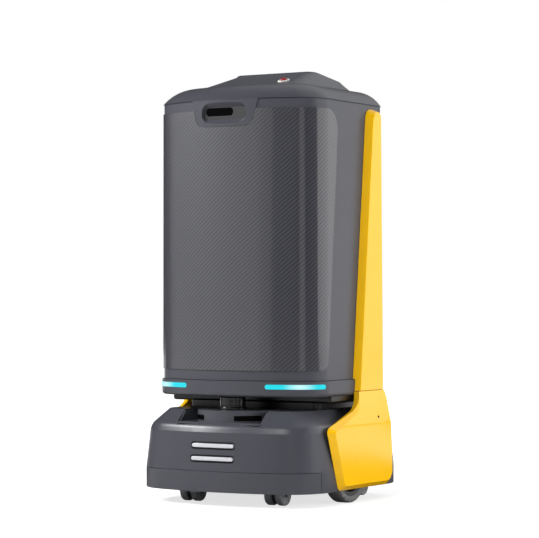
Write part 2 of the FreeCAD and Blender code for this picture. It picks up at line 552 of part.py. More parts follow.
def draw_polygon(sketch, corners):
    """Closed outline through corners (x, y) or (x, y, radius), drawn anticlockwise."""
    points = [V(value_of(c[0]), value_of(c[1]), 0) for c in corners]
    radii = [c[2] if len(c) > 2 else None for c in corners]
    count = len(corners)
    ways = [(points[(i + 1) % count] - points[i]).normalize() for i in range(count)]
    starts = list(points)
    ends = list(points)
    arcs = {}
    for i, radius in enumerate(radii):
        if radius is None:
            continue
        came, goes = ways[i - 1], ways[i]
        turn = came.cross(goes).z
        half = math.acos(max(-1.0, min(1.0, came.dot(goes)))) / 2
        reach = radius.value * math.tan(half)
        ends[i] = points[i] - came * reach
        starts[i] = points[i] + goes * reach
        side = V(-came.y, came.x, 0) * (1 if turn > 0 else -1)
        centre = ends[i] + side * radius.value
        first, last = (ends[i], starts[i]) if turn > 0 else (starts[i], ends[i])
        angles = [math.atan2(p.y - centre.y, p.x - centre.x) for p in (first, last)]
        circle = Part.Circle(centre, V(0, 0, 1), radius.value)
        arcs[i] = (sketch.addGeometry(Part.ArcOfCircle(circle, *angles), False), turn > 0)
    lines = []
    for i in range(count):
        segment = Part.LineSegment(starts[i], ends[(i + 1) % count])
        lines.append(sketch.addGeometry(segment, False))
    for i, corner in enumerate(corners):
        came, goes = lines[i - 1], lines[i]
        if i not in arcs:
            constrain(sketch, "Coincident", came, 2, goes, 1)
            pin_point(sketch, goes, 1, corner[0], corner[1])
            continue
        arc, left = arcs[i]
        constrain(sketch, "Tangent", came, 2, arc, 1 if left else 2)
        constrain(sketch, "Tangent", arc, 2 if left else 1, goes, 1)
        constrain(sketch, "Radius", arc, size=corner[2])
        point = sketch.addGeometry(Part.Point(points[i]), True)
        pin_point(sketch, point, 1, corner[0], corner[1])
        constrain(sketch, "PointOnObject", point, 1, came)
        constrain(sketch, "PointOnObject", point, 1, goes)


def draw_rectangle(sketch, x_low, x_high, y_low, y_high, radius=None):
    corners = ((x_low, y_low), (x_high, y_low), (x_high, y_high), (x_low, y_high))
    draw_polygon(sketch, [c if radius is None else c + (radius,) for c in corners])


def draw_plan(sketch, plan, split_bow=False):
    """Plan outline: bowed front, rounded corners, straight sides and rear; a path starts mid-bow."""
    half, front, rear, bow, corner, rear_corner = (size.value for size in plan)
    bow_centre = V(0, bow - front, 0)
    corner_x = half - corner
    corner_y = bow_centre.y - math.sqrt((bow - corner) ** 2 - corner_x ** 2)
    touch = math.atan2(corner_y - bow_centre.y, corner_x)
    up = V(0, 0, 1)

    def arc(centre, radius, start, end):
        return sketch.addGeometry(Part.ArcOfCircle(Part.Circle(centre, up, radius), start, end), False)

    def line(start, end):
        return sketch.addGeometry(Part.LineSegment(start, end), False)

    rear_x = half - rear_corner
    rear_y = rear - rear_corner
    ahead = -math.pi / 2
    ids = [
        arc(bow_centre, bow, ahead if split_bow else -math.pi - touch, touch),
        arc(V(corner_x, corner_y, 0), corner, touch, 0),
        line(V(half, corner_y, 0), V(half, rear_y, 0)),
        arc(V(rear_x, rear_y, 0), rear_corner, 0, math.pi / 2),
        line(V(rear_x, rear, 0), V(-rear_x, rear, 0)),
        arc(V(-rear_x, rear_y, 0), rear_corner, math.pi / 2, math.pi),
        line(V(-half, rear_y, 0), V(-half, corner_y, 0)),
        arc(V(-corner_x, corner_y, 0), corner, math.pi, math.pi - touch),
    ]
    if split_bow:
        ids.append(arc(bow_centre, bow, -math.pi - touch, ahead))
        constrain(sketch, "Equal", ids[0], ids[8])
        constrain(sketch, "PointOnObject", ids[0], 1, -2)
    for here, after in zip(ids, ids[1:] + ids[:1]):
        constrain(sketch, "Tangent", here, 2, after, 1)
    constrain(sketch, "PointOnObject", ids[0], 3, -2)
    constrain(sketch, "DistanceY", -1, 1, ids[0], 3, size=plan.bow - plan.front)
    constrain(sketch, "Radius", ids[0], size=plan.bow)
    constrain(sketch, "Radius", ids[1], size=plan.corner)
    constrain(sketch, "Equal", ids[1], ids[7])
    constrain(sketch, "Radius", ids[3], size=plan.rear_corner)
    constrain(sketch, "Equal", ids[3], ids[5])
    constrain(sketch, "Vertical", ids[2])
    constrain(sketch, "Vertical", ids[6])
    constrain(sketch, "Horizontal", ids[4])
    constrain(sketch, "DistanceX", -1, 1, ids[2], 1, size=plan.half_width)
    constrain(sketch, "DistanceX", ids[6], 1, -1, 1, size=plan.half_width)
    constrain(sketch, "DistanceY", -1, 1, ids[4], 1, size=plan.rear)


# Features

def add(body, kind, sketch, length=None, symmetric=False, reverse=False):
    feature = body.newObject("PartDesign::" + kind, body.Name + kind)
    feature.Profile = sketch
    if length is None:
        feature.Type = "ThroughAll"
    else:
        bind(feature, "Length", length)
    if symmetric:
        feature.SideType = "Symmetric"
    feature.Reversed = reverse
    return feature


def pad(body, sketch, length, symmetric=False, reverse=False):
    return add(body, "Pad", sketch, length, symmetric, reverse)


def pocket(body, sketch, length=None, symmetric=True, reverse=False):
    return add(body, "Pocket", sketch, length, symmetric, reverse)


def revolve(body, sketch, axis="H_Axis", angle=None):
    feature = body.newObject("PartDesign::Revolution", body.Name + "Revolution")
    feature.Profile = sketch
    feature.ReferenceAxis = (sketch, [axis])
    if angle is None:
        feature.Angle = 360
    else:
        feature.Midplane = True
        bind(feature, "Angle", angle)
    return feature


def loft(body, kind, sketches, ruled=True):
    feature = body.newObject("PartDesign::" + kind, body.Name + kind)
    feature.Profile = sketches[0]
    feature.Sections = sketches[1:]
    feature.Ruled = ruled
    return feature


def level(height):
    """Picks the edges that lie at one height."""
    def test(edge):
        places = [vertex.Point.z for vertex in edge.Vertexes] + [edge.CenterOfMass.z]
        return all(abs(place - height.value) < NEAR for place in places)
    return test


def soften(body, kind, base, test, size):
    """Fillet or chamfer the edges of the base feature that pass the test."""
    doc.recompute()
    names = ["Edge%d" % (i + 1) for i, edge in enumerate(base.Shape.Edges) if test(edge)]
    if not names:
        raise RuntimeError("no edge found for %s of %s" % (kind, body.Label))
    feature = body.newObject("PartDesign::" + kind, body.Name + kind)
    feature.Base = (base, names)
    bind(feature, "Radius" if kind == "Fillet" else "Size", size)
    return feature


def place(thing, x=None, y=None, z=None, tilt=None):
    """Bind an object's place to the sheet; tilt turns it about X."""
    if tilt is not None:
        thing.Placement = FreeCAD.Placement(V(0, 0, 0), FreeCAD.Rotation(V(1, 0, 0), tilt.value))
        bind(thing, "Placement.Rotation.Angle", tilt)
    for axis, size in (("x", x), ("y", y), ("z", z)):
        if size is not None:
            bind(thing, "Placement.Base." + axis, size)


def box(name, low, high):
    """Part box between two corners given as sizes."""
    solid = doc.addObject("Part::Box", name)
    for side, axis, first, last in zip(("Length", "Width", "Height"), "xyz", low, high):
        bind(solid, side, last - first)
        bind(solid, "Placement.Base." + axis, first)
    return solid


def combine(kind, name, *items):
    solid = doc.addObject("Part::" + kind, name)
    if kind in ("Cut", "Common"):
        solid.Base, solid.Tool = items
    elif kind == "Compound":
        solid.Links = list(items)
    else:
        solid.Shapes = list(items)
    return solid


def mirrored(name, source):
    copy = doc.addObject("Part::Mirroring", name)
    copy.Source = source
    copy.Normal = V(1, 0, 0)
    return copy


nodes = []


def node(label, solid):
    solid.Label = label
    nodes.append(solid)
    return solid


def pair(label, solid):
    """One node that holds a piece and its mirror image."""
    far = mirrored(solid.Name + "Mirror", solid)
    return node(label, combine("Compound", solid.Name + "Pair", solid, far))


# Base covers: a lofted shell, split into a front cover, a front skirt and a rear cover

def lean_at(height):
    return S.wall_lean * (height - S.skirt_top) / (S.shoulder_low - S.skirt_top)


def base_shell():
    """Wall swept round the base outline, with the deck across its top."""
    body = new_body("base_shell")
    wall = S.cover_wall
    path = new_sketch(body, "XY_Plane", S.base_bottom)
    draw_plan(path, BASE, split_bow=True)
    section = new_sketch(body, "YZ_Plane")
    face = -S.base_front
    deck_edge = face + S.deck_inset
    overlap = S.deck_round
    draw_polygon(section, (
        (face, S.base_bottom), (face, S.skirt_top),
        (face + S.wall_lean, S.shoulder_low, S.shoulder_round),
        (face + S.shoulder_inset, S.shoulder_high, S.deck_round),
        (deck_edge, S.deck_top, S.deck_edge_round),
        (deck_edge + overlap, S.deck_top), (deck_edge + overlap, S.deck_top - wall),
        (deck_edge + wall / 2, S.deck_top - wall),
        (face + S.shoulder_inset + wall, S.shoulder_high - wall / 2),
        (face + S.wall_lean + wall, S.shoulder_low),
        (face + wall, S.skirt_top), (face + wall, S.base_bottom)))
    sweep = body.newObject("PartDesign::AdditivePipe", "BaseWall")
    sweep.Profile = section
    sweep.Spine = (path, [])
    deck = new_sketch(body, "XY_Plane", S.deck_top - wall)
    draw_plan(deck, shrunk(BASE, S.deck_inset + overlap / 2))
    pad(body, deck, wall)

    deck_hole = new_sketch(body, "XY_Plane", S.deck_top)
    draw_rectangle(deck_hole, -S.deck_hole_half_width, S.deck_hole_half_width,
                   -S.deck_hole_front, S.deck_hole_rear, S.deck_hole_corner)
    pocket(body, deck_hole, S.cover_wall * THROUGH)

    recess = new_sketch(body, "XY_Plane", S.deck_top)
    draw_rectangle(recess, -S.pod_half_width, S.pod_half_width, -S.pod_front, -S.pod_rear, S.pod_corner)
    pocket(body, recess, (S.deck_top - S.pod_floor + S.pod_floor_wall + S.pod_fit) * 2)

    arch = new_sketch(body, "YZ_Plane")
    radius = S.wheel_radius + S.arch_gap
    axle = -S.wheel_forward
    draw_rectangle(arch, axle - radius, axle + radius, S.base_bottom - S.wheel_radius,
                   S.wheel_radius + radius, radius - S.cover_wall)
    pocket(body, arch)

    slots = new_sketch(body, "XZ_Plane", S.base_front)
    half_height = S.bar_height / 2 + S.bar_slot_margin
    reach = S.bar_half_length + S.bar_slot_margin
    slot_round = S.bar_end_round + S.bar_slot_margin
    for middle in (S.bar_low, S.bar_high):
        draw_rectangle(slots, -reach, reach, middle - half_height, middle + half_height, slot_round)
    pocket(body, slots, (S.wall_lean + S.cover_wall + S.lamp_tray_margin) * 2)

    contacts = new_sketch(body, "XZ_Plane", -S.base_rear)
    half_width = S.contact_half_width + S.contact_fit
    half_tall = S.contact_height / 2 + S.contact_fit
    for middle in (S.contact_x, -S.contact_x):
        draw_rectangle(contacts, middle - half_width, middle + half_width,
                       S.contact_z - half_tall, S.contact_z + half_tall)
    pocket(body, contacts, S.contact_thickness * THROUGH)
    return body


def base_covers():
    shell = base_shell()
    reach = S.base_front * BEYOND
    split = -S.wheel_forward
    half_seam = S.cover_seam / 2
    rear_side = box("RearSide", (-reach, split + half_seam, ZERO), (reach, reach, reach))
    front_side = box("FrontSide", (-reach, -reach, ZERO), (reach, split - half_seam, reach))
    skirt_side = box("SkirtSide", (-reach, -reach, ZERO), (reach, -S.skirt_end, S.skirt_top))
    skirt_cut = box("SkirtCut", (-reach, -reach, ZERO),
                    (reach, S.cover_seam - S.skirt_end, S.skirt_top + S.cover_seam))
    node("base_rear_cover", combine("Common", "RearCover", shell, rear_side))
    front = combine("Common", "FrontHalf", shell, front_side)
    node("base_front_cover", combine("Cut", "FrontCover", front, skirt_cut))
    node("front_skirt", combine("Common", "FrontSkirt", shell, skirt_side))


# Sensor pod, depth windows, lamps and lidar

def sensor_pod():
    body = new_body("pod_blank")
    reach = S.pod_half_width - S.pod_fit
    front = S.pod_front - S.pod_fit
    rear = S.pod_rear + S.pod_fit
    wall = S.pod_floor_wall
    floor = new_sketch(body, "XY_Plane", S.pod_floor - wall)
    draw_rectangle(floor, -reach, reach, -front, -rear, S.pod_corner - S.pod_fit)
    pad(body, floor, wall)
    # The sides follow the slope of the deck, below its surface
    lip = S.deck_top - S.cover_wall
    run = (S.deck_inset - S.shoulder_inset) / (S.deck_top - S.shoulder_high)
    for side in (reach - wall, -reach):
        cheek = new_sketch(body, "YZ_Plane", side)
        slope_front = S.pod_corner + wall - front
        slope_back = slope_front + (lip - S.pod_floor) * run
        draw_polygon(cheek, ((slope_front, S.pod_floor - wall), (-rear - S.pod_corner, S.pod_floor - wall),
                             (-rear - S.pod_corner, lip), (slope_back, lip)))
        pad(body, cheek, wall)
    drum = new_sketch(body, "XY_Plane", S.pod_floor - wall)
    draw_circle(drum, 0, -S.pod_drum_centre, S.pod_drum_radius)
    pad(body, drum, S.deck_top - S.pod_floor + wall)
    behind = new_sketch(body, "XY_Plane", S.deck_top)
    draw_rectangle(behind, -S.pod_drum_radius, S.pod_drum_radius, -rear, S.pod_drum_radius)
    pocket(body, behind)
    doc.recompute()
    open_front = S.pod_floor_wall * 2
    slots = [window_block("PodSlot%d" % i, turn, S.pod_fit, open_front) for i, turn in enumerate((1, -1))]
    node("sensor_pod", combine("Cut", "Pod", body, combine("Compound", "PodSlots", *slots)))
    windows = [window_block("Window%d" % i, turn, ZERO, ZERO) for i, turn in enumerate((1, -1))]
    node("depth_windows", combine("Compound", "DepthWindows", *windows))


def window_block(name, side, margin, ahead):
    """Block in the curved wall, its flat face at the chord of that wall or further ahead."""
    solid = doc.addObject("Part::Box", name)
    half = S.window_length / 2
    chord = leg_of(S.pod_drum_radius, half)
    reach = half + margin
    away = chord + ahead
    half_tall = S.window_height / 2 + margin
    turn = S.window_turn * side
    bind(solid, "Length", reach * 2)
    bind(solid, "Width", S.window_depth + margin + ahead)
    bind(solid, "Height", half_tall * 2)
    solid.Placement = FreeCAD.Placement(V(0, 0, 0), FreeCAD.Rotation(V(0, 0, 1), turn.value))
    bind(solid, "Placement.Rotation.Angle", turn)
    # Corner of the block, from the middle of its face turned about the drum's axis
    bind(solid, "Placement.Base.x", away * sine(turn) - reach * cosine(turn))
    bind(solid, "Placement.Base.y", -S.pod_drum_centre - away * cosine(turn) - reach * sine(turn))
    bind(solid, "Placement.Base.z", S.window_middle - half_tall)
    return solid


def lamps():
    """Tray and two bars, bent to the bow of the base front."""
    bow_centre = S.base_bow - S.base_front
    tray_high = S.bar_high + S.lamp_tray_margin
    tray_front = S.base_bow - lean_at(tray_high) - S.cover_wall - S.lamp_fit
    tray = new_body("lamp_tray")
    sketch = new_sketch(tray, "YZ_Plane")
    draw_rectangle(sketch, -tray_front, S.lamp_tray_depth - tray_front,
                   S.bar_low - S.lamp_tray_margin, tray_high)
    revolve(tray, sketch, "V_Axis", arc_angle(S.bar_half_length + S.lamp_tray_margin, S.base_bow) * 2)
    place(tray, y=bow_centre)
    node("lamp_tray", tray)
    bars = []
    for name, middle in (("LowerBar", S.bar_low), ("UpperBar", S.bar_high)):
        bar = new_body(name)
        sketch = new_sketch(bar, "YZ_Plane")
        face = S.base_bow - lean_at(middle) + S.bar_proud
        low, high = middle - S.bar_height / 2, middle + S.bar_height / 2
        draw_polygon(sketch, ((-face, low, S.bar_round), (-tray_front, low), (-tray_front, high),
                              (-face, high, S.bar_round)))
        revolve(bar, sketch, "V_Axis", arc_angle(S.bar_half_length + S.bar_height, S.base_bow) * 2)
        place(bar, y=bow_centre)
        ends = new_body(name + "Ends")
        sketch = new_sketch(ends, "XZ_Plane")
        draw_rectangle(sketch, -S.bar_half_length, S.bar_half_length, low, high, S.bar_end_round)
        pad(ends, sketch, S.base_front * BEYOND)
        bars.append(combine("Common", name + "Rounded", bar, ends))
    node("light_bars", combine("Compound", "LightBars", *bars))


def lidar():
    base = new_body("lidar_base")
    profile = new_sketch(base, "XZ_Plane")
    bore = S.lidar_spindle + S.running_fit
    top = S.lidar_base_height
    bottom = top - S.lidar_spindle_depth
    draw_polygon(profile, ((0, 0), (S.lidar_base_radius, 0), (S.lidar_base_radius, top, S.lidar_round),
                           (bore, top), (bore, bottom), (0, bottom)))
    revolve(base, profile, "V_Axis")
    place(base, y=-S.lidar_forward, z=S.deck_top)
    node("lidar_base", base)
    head = new_body("lidar_head")
    profile = new_sketch(head, "XZ_Plane")
    high = S.lidar_head_height
    foot = S.lidar_gap * 2 - S.lidar_spindle_depth
    window = S.lidar_radius - S.lidar_window_sunk
    draw_polygon(profile, ((0, foot), (S.lidar_spindle, foot), (S.lidar_spindle, S.lidar_gap),
                           (S.lidar_radius, S.lidar_gap), (S.lidar_radius, S.lidar_window_low),
                           (window, S.lidar_window_low), (window, high - S.lidar_window_drop),
                           (S.lidar_radius, high - S.lidar_window_drop),
                           (S.lidar_radius, high, S.lidar_round), (0, high)))
    revolve(head, profile, "V_Axis")
    place(head, y=-S.lidar_forward, z=S.deck_top + S.lidar_base_height)
    node("lidar_head", head)


# Neck, frame posts and body floor

def neck():
    plate = new_body("neck_plate")
    sketch = new_sketch(plate, "XY_Plane", S.neck_plate_bottom)
    draw_rectangle(sketch, -S.neck_half_width, S.neck_half_width, -S.neck_front, S.neck_rear, S.neck_corner)
    slab = pad(plate, sketch, S.neck_plate_thickness)
    soften(plate, "Fillet", slab, level(S.neck_plate_bottom), S.neck_plate_round)
    node("neck_plate", plate)
    collar = new_body("neck_collar")
    wall = S.collar_wall
    sketch = new_sketch(collar, "XY_Plane", S.deck_top)
    for inset in (wall, ZERO):
        draw_rectangle(sketch, -S.deck_hole_half_width - inset, S.deck_hole_half_width + inset,
                       -S.deck_hole_front - inset, S.deck_hole_rear + inset, S.deck_hole_corner + inset)
    pad(collar, sketch, S.collar_height)
    node("neck_collar", collar)


def frame_posts():
    posts = []
    half = S.post_size / 2
    for name, y in (("FrontPost", -S.post_front), ("RearPost", S.post_rear)):
        post = new_body(name)
        sketch = new_sketch(post, "XY_Plane", S.chassis_bottom + S.chassis_thickness)
        draw_rectangle(sketch, S.post_x - half, S.post_x + half, y - half, y + half)
        draw_circle(sketch, S.post_x, y, S.post_bore)
        pad(post, sketch, S.neck_plate_bottom - S.chassis_bottom - S.chassis_thickness)
        posts += [post, mirrored(name + "Mirror", post)]
    node("frame_posts", combine("Compound", "FramePosts", *posts))


def body_floor():
    body = new_body("body_floor")
    sketch = new_sketch(body, "XY_Plane", S.ring_bottom)
    draw_plan(sketch, shrunk(BODY, S.ring_inside + S.floor_fit))
    pad(body, sketch, S.floor_thickness)
    node("body_floor", body)


# Body ring with its light strips

def band(name, low, high, outer, inner):
    """Closed belt of the body outline between two heights."""
    body = new_body(name)
    sketch = new_sketch(body, "XY_Plane", low)
    draw_plan(sketch, outer)
    draw_plan(sketch, inner)
    pad(body, sketch, high - low)
    return body


def body_ring():
    outside = grown(BODY, S.ring_proud)
    ring = band("ring_blank", S.ring_bottom, S.ring_top, outside, shrunk(BODY, S.ring_inside))

    def lower_outside(edge):
        return level(S.ring_bottom)(edge) and on_outline(edge, outside)

    soften(ring, "Fillet", ring.Tip, lower_outside, S.ring_round)
    seat = grown(BODY, S.ring_proud - S.led_depth)
    channel = band("led_channel", S.led_low, S.led_high, grown(BODY, S.ring_proud * BEYOND), seat)
    strip = band("led_band", S.led_low, S.led_high, grown(BODY, S.ring_proud + S.led_proud), seat)
    cut = combine("Common", "LedChannels", channel, led_corners("Channel", ZERO))
    node("body_ring", combine("Cut", "BodyRing", ring, cut))
    node("led_strips", combine("Common", "LedStrips", strip, led_corners("Strip", S.led_fit)))


def led_corners(name, fit):
    """Blocks round both front corners, rounded where a strip ends on the front and on the side."""
    reach = S.body_front * BEYOND
    low, high = S.led_low + fit, S.led_high - fit
    ends = S.led_end_round - fit
    ahead = new_body(name + "FrontView")
    sketch = new_sketch(ahead, "XZ_Plane")
    inner = S.led_inner_end + fit
    draw_polygon(sketch, ((inner, low, ends), (reach, low), (reach, high), (inner, high, ends)))
    pad(ahead, sketch, reach)
    beside = new_body(name + "SideView")
    sketch = new_sketch(beside, "YZ_Plane")
    back = -S.led_side_end - fit
    draw_polygon(sketch, ((-reach, low), (back, low, ends), (back, high, ends), (-reach, high)))
    pad(beside, sketch, reach)
    corner = combine("Common", name + "Corner", ahead, beside)
    return combine("Compound", name + "Corners", corner, mirrored(name + "Far", corner))


def on_outline(edge, plan):
    """True where an edge's ends lie on the plan outline, tested on its side, rear and bow."""
    half, front, rear, bow, corner, rear_corner = (size.value for size in plan)
    inner_half = half - NEAR
    for vertex in edge.Vertexes:
        point = vertex.Point
        on_side = abs(point.x) > inner_half
        on_rear = point.y > rear - NEAR
        on_bow = abs(math.hypot(point.x, point.y - (bow - front)) - bow) < NEAR
        if not (on_side or on_rear or on_bow):
            return False
    return True


# Body shell, front panel and camera bib

def bib_corners(gap):
    """Outline of the bib, run on past the cap's seam."""
    top = S.body_top + S.bib_round
    spread = (S.bib_top_half - S.bib_low_half) * S.bib_round / S.bib_height
    top_half = S.bib_top_half + spread + gap
    return ((-S.bib_low_half - gap, S.bib_low - gap, S.bib_round + gap),
            (S.bib_low_half + gap, S.bib_low - gap, S.bib_round + gap), (top_half, top), (-top_half, top))


def bib_prism(name, gap):
    """Block of the bib's outline that runs from ahead of the body to the bib's back."""
    prism = new_body(name)
    ahead = S.body_front + S.bib_depth
    sketch = new_sketch(prism, "XZ_Plane", S.body_front - S.bib_depth - gap)
    draw_polygon(sketch, bib_corners(gap))
    pad(prism, sketch, ahead)
    return prism


def body_shell():
    body = band("shell_blank", S.ring_top, S.body_top, BODY, shrunk(BODY, S.shell_wall))
    opening = new_sketch(body, "XZ_Plane", -S.body_rear)
    draw_doorway(opening)
    cut = pocket(body, opening, S.shell_wall * THROUGH)

    def outer_rim(edge):
        at_end = level(S.ring_top)(edge) or level(S.body_top)(edge)
        return at_end and on_outline(edge, BODY)

    soften(body, "Chamfer", cut, outer_rim, S.seam_chamfer)
    node("body_shell", combine("Cut", "BodyShell", body, bib_prism("bib_opening", S.bib_fit)))


def draw_doorway(sketch):
    reach = S.door_half_width + S.door_gap
    draw_rectangle(sketch, -reach, reach, S.door_low - S.door_gap, S.door_high + S.door_gap)


def front_panel():
    sheet_metal = band("panel_blank", S.panel_low, S.panel_high, grown(BODY, S.panel_proud),
                       grown(BODY, S.panel_fit))
    keep = new_body("panel_side_view")
    sketch = new_sketch(keep, "YZ_Plane")
    ahead = -S.body_front * BEYOND
    draw_polygon(sketch, ((ahead, S.panel_low), (-S.panel_low_end, S.panel_low, S.panel_low_round),
                          (-S.panel_high_end, S.panel_high, S.panel_high_round), (ahead, S.panel_high)))
    pad(keep, sketch, S.body_half_width * 2 * BEYOND, symmetric=True)
    trimmed = combine("Common", "PanelTrimmed", sheet_metal, keep)
    node("front_panel", combine("Cut", "FrontPanel", trimmed, bib_prism("bib_notch", S.bib_fit)))


def camera_bib():
    block = bib_prism("bib_block", ZERO)
    filled = new_body("bib_front")
    sketch = new_sketch(filled, "XY_Plane", S.bib_low - S.bib_round)
    draw_plan(sketch, grown(BODY, S.bib_proud))
    pad(filled, sketch, S.body_top - S.bib_low + S.bib_round)
    face = combine("Common", "BibFace", block, filled)

    recess = new_body("bib_recess")
    mouth_at = S.body_front + S.bib_proud
    floor_at = mouth_at - S.bib_pocket_depth
    mouth_half_tall = (S.bib_pocket_high - S.bib_pocket_low) / 2
    middle = (S.bib_pocket_high + S.bib_pocket_low) / 2
    sections = []
    drafts = ((mouth_at, ZERO, ZERO), (floor_at, S.bib_pocket_draft, S.bib_pocket_side_draft))
    for at, draft, side_draft in drafts:
        sketch = new_sketch(recess, "XZ_Plane", at)
        half, tall = S.bib_pocket_half - side_draft, mouth_half_tall - draft
        draw_rectangle(sketch, -half, half, middle - tall, middle + tall, tall - S.bib_proud)
        sections.append(sketch)
    loft(recess, "AdditiveLoft", sections)
    slot = new_sketch(recess, "XZ_Plane", floor_at - S.camera_thickness - S.camera_sunk)
    draw_camera(slot)
    pad(recess, slot, S.camera_thickness + S.camera_sunk * 2)
    node("camera_bib", combine("Cut", "CameraBib", face, recess))

    window = new_body("camera_window")
    sketch = new_sketch(window, "XZ_Plane", floor_at - S.camera_thickness - S.camera_sunk)
    draw_camera(sketch)
    pad(window, sketch, S.camera_thickness)
    node("camera_window", window)


def draw_camera(sketch):
    round_end = (S.camera_high - S.camera_low) / 2 - S.bib_fit
    draw_rectangle(sketch, S.camera_middle - S.camera_half, S.camera_middle + S.camera_half,
                   S.camera_low, S.camera_high, round_end)


# Cap, console and display

def top_cap():
    """Dome drawn in along an arc, steep at the seam and level at the crown."""
    body = new_body("top_cap")
    rim = grown(BODY, S.panel_proud)
    steepest = arc_angle(S.cap_inset, S.cap_radius)

    def plan(drawn_in, wall):
        share = drawn_in / S.cap_inset
        drawn = drawn_in + wall
        rear = drawn_in * S.cap_rear_share + wall
        return Plan(rim.half_width - drawn, rim.front - drawn, rim.rear - rear, rim.bow - drawn,
                    rim.corner - (rim.corner - S.cap_crown_corner) * share - wall,
                    rim.rear_corner - (rim.rear_corner - S.cap_crown_corner) * share - wall)

    def sections(wall):
        made = []
        for step in range(CAP_STEPS + 1):
            slope = steepest * (1 - step / CAP_STEPS)
            drop = S.cap_radius - S.cap_radius * cosine(slope)
            height = S.cap_crown - drop - wall if step else S.body_top
            sketch = new_sketch(body, "XY_Plane", height)
            draw_plan(sketch, plan(S.cap_inset - S.cap_radius * sine(slope), wall))
            made.append(sketch)
        return made

    loft(body, "AdditiveLoft", sections(ZERO), ruled=False)
    loft(body, "SubtractiveLoft", sections(S.cap_wall), ruled=False)
    node("top_cap", body)


def console_tilt():
    return angle_of(S.console_low - S.console_high, S.console_top_rear + S.console_top_front)


def console_top_length():
    return hypot_of(S.console_low - S.console_high, S.console_top_rear + S.console_top_front)


def estop_place():
    """Place of the emergency stop on the console's front slope, as (y, z, angle about X)."""
    run = S.console_front_run
    rise = S.console_rise - S.console_rim
    up = S.estop_up
    return run * up - S.console_foot_front, S.cap_crown + rise * up, angle_of(rise, run)


def console_housing():
    body = new_body("console_housing")

    def foot(wall):
        sketch = new_sketch(body, "XY_Plane", S.cap_crown)
        draw_rectangle(sketch, wall - S.console_foot_half, S.console_foot_half - wall,
                       wall - S.console_foot_front, S.console_foot_rear - wall, S.console_foot_corner - wall)
        return sketch

    def top(inset, drop):
        at = (-S.console_top_front, S.console_high - drop, console_tilt())
        sketch = new_sketch(body, "XY_Plane", tilt=at)
        draw_rectangle(sketch, inset - S.console_top_half, S.console_top_half - inset,
                       inset, console_top_length() - inset, S.console_top_corner - inset)
        return sketch

    wall, rim = S.console_wall, S.console_rim
    loft(body, "AdditiveLoft", [foot(ZERO), top(ZERO, rim), top(rim, ZERO)])
    loft(body, "SubtractiveLoft", [foot(wall), top(rim + wall, wall)])
    seat = new_sketch(body, "XY_Plane", tilt=(-S.console_top_front, S.console_high, console_tilt()))
    draw_display(seat, S.display_fit)
    pocket(body, seat, S.display_thickness, symmetric=False)
    hole = new_sketch(body, "XY_Plane", tilt=estop_place())
    draw_circle(hole, S.estop_x, 0, S.estop_neck_radius + S.estop_fit)
    pocket(body, hole, S.estop_neck_depth * 2)
    node("console_housing", body)

    glass = new_body("display_glass")
    sketch = new_sketch(glass, "XY_Plane", tilt=(-S.console_top_front, S.console_high, console_tilt()))
    draw_display(sketch, ZERO)
    pad(glass, sketch, S.display_thickness, reverse=True)
    node("display_glass", glass)


def draw_display(sketch, gap):
    margin = S.display_margin - gap
    draw_rectangle(sketch, margin - S.console_top_half, S.console_top_half - margin,
                   margin, console_top_length() - margin, S.display_round + gap)


def emergency_stop():
    at = (S.estop_x,) + estop_place()
    bore = S.estop_button_radius + S.estop_fit
    collar = new_body("estop_collar")
    profile = new_sketch(collar, "XZ_Plane")
    high = S.estop_collar_height
    floor = S.estop_collar_height - S.estop_neck_depth
    draw_polygon(profile, ((0, -S.estop_neck_depth), (S.estop_neck_radius, -S.estop_neck_depth),
                           (S.estop_neck_radius, 0), (S.estop_collar_radius, 0),
                           (S.estop_collar_radius, high, high / 2), (bore, high), (bore, floor), (0, floor)))
    revolve(collar, profile, "V_Axis")
    place(collar, *at)
    node("estop_collar", collar)
    button = new_body("estop_button")
    profile = new_sketch(button, "XZ_Plane")
    top = high + S.estop_button_proud
    bottom = high - S.estop_button_depth
    draw_polygon(profile, ((0, bottom), (S.estop_button_radius, bottom),
                           (S.estop_button_radius, top, S.estop_dome), (0, top)))
    revolve(button, profile, "V_Axis")
    place(button, *at)
    node("estop_button", button)


# Side fins

def upper_fin():
    body = new_body("left_fin_upper")
    root = S.body_half_width + S.fin_gap
    low = S.fin_seam + S.cover_seam
    outer_top = S.fin_top - S.fin_top_chamfer

    def outline(at, front, rear, top):
        sketch = new_sketch(body, "YZ_Plane", at)
        draw_polygon(sketch, ((front - S.fin_seam_front, low), (S.fin_seam_rear - rear, low),
                              (S.fin_top_rear - rear, top, S.fin_top_rear_round),
                              (front - S.fin_top_front, top, S.fin_top_round)))
        return sketch

    inner = outline(root, ZERO, ZERO, S.fin_top)
    outer = outline(S.fin_upper_face, S.fin_front_chamfer, S.fin_rear_chamfer, outer_top)
    loft(body, "AdditiveLoft", [inner, outer])
    # Room for the proud body ring
    step = new_sketch(body, "XZ_Plane")
    draw_rectangle(step, S.body_half_width, S.body_half_width + S.ring_proud + S.fin_gap,
                   S.fin_seam, S.ring_top + S.fin_gap)
    pocket(body, step)
    hollow = new_sketch(body, "YZ_Plane", root)
    margin = S.fin_hollow_margin
    front = margin + S.fin_front_chamfer
    draw_polygon(hollow, ((front - S.fin_seam_front, S.ring_top + margin),
                          (S.fin_seam_rear - margin, S.ring_top + margin),
                          (S.fin_top_rear - margin, S.fin_top - margin * 2, S.fin_hollow_round),
                          (front - S.fin_top_front, S.fin_top - margin * 2, S.fin_hollow_round)))
    pocket(body, hollow, S.fin_upper_face - root - S.fin_skin, symmetric=False, reverse=True)
    node("left_fin_upper", body)
    node("right_fin_upper", mirrored("RightFinUpper", body))


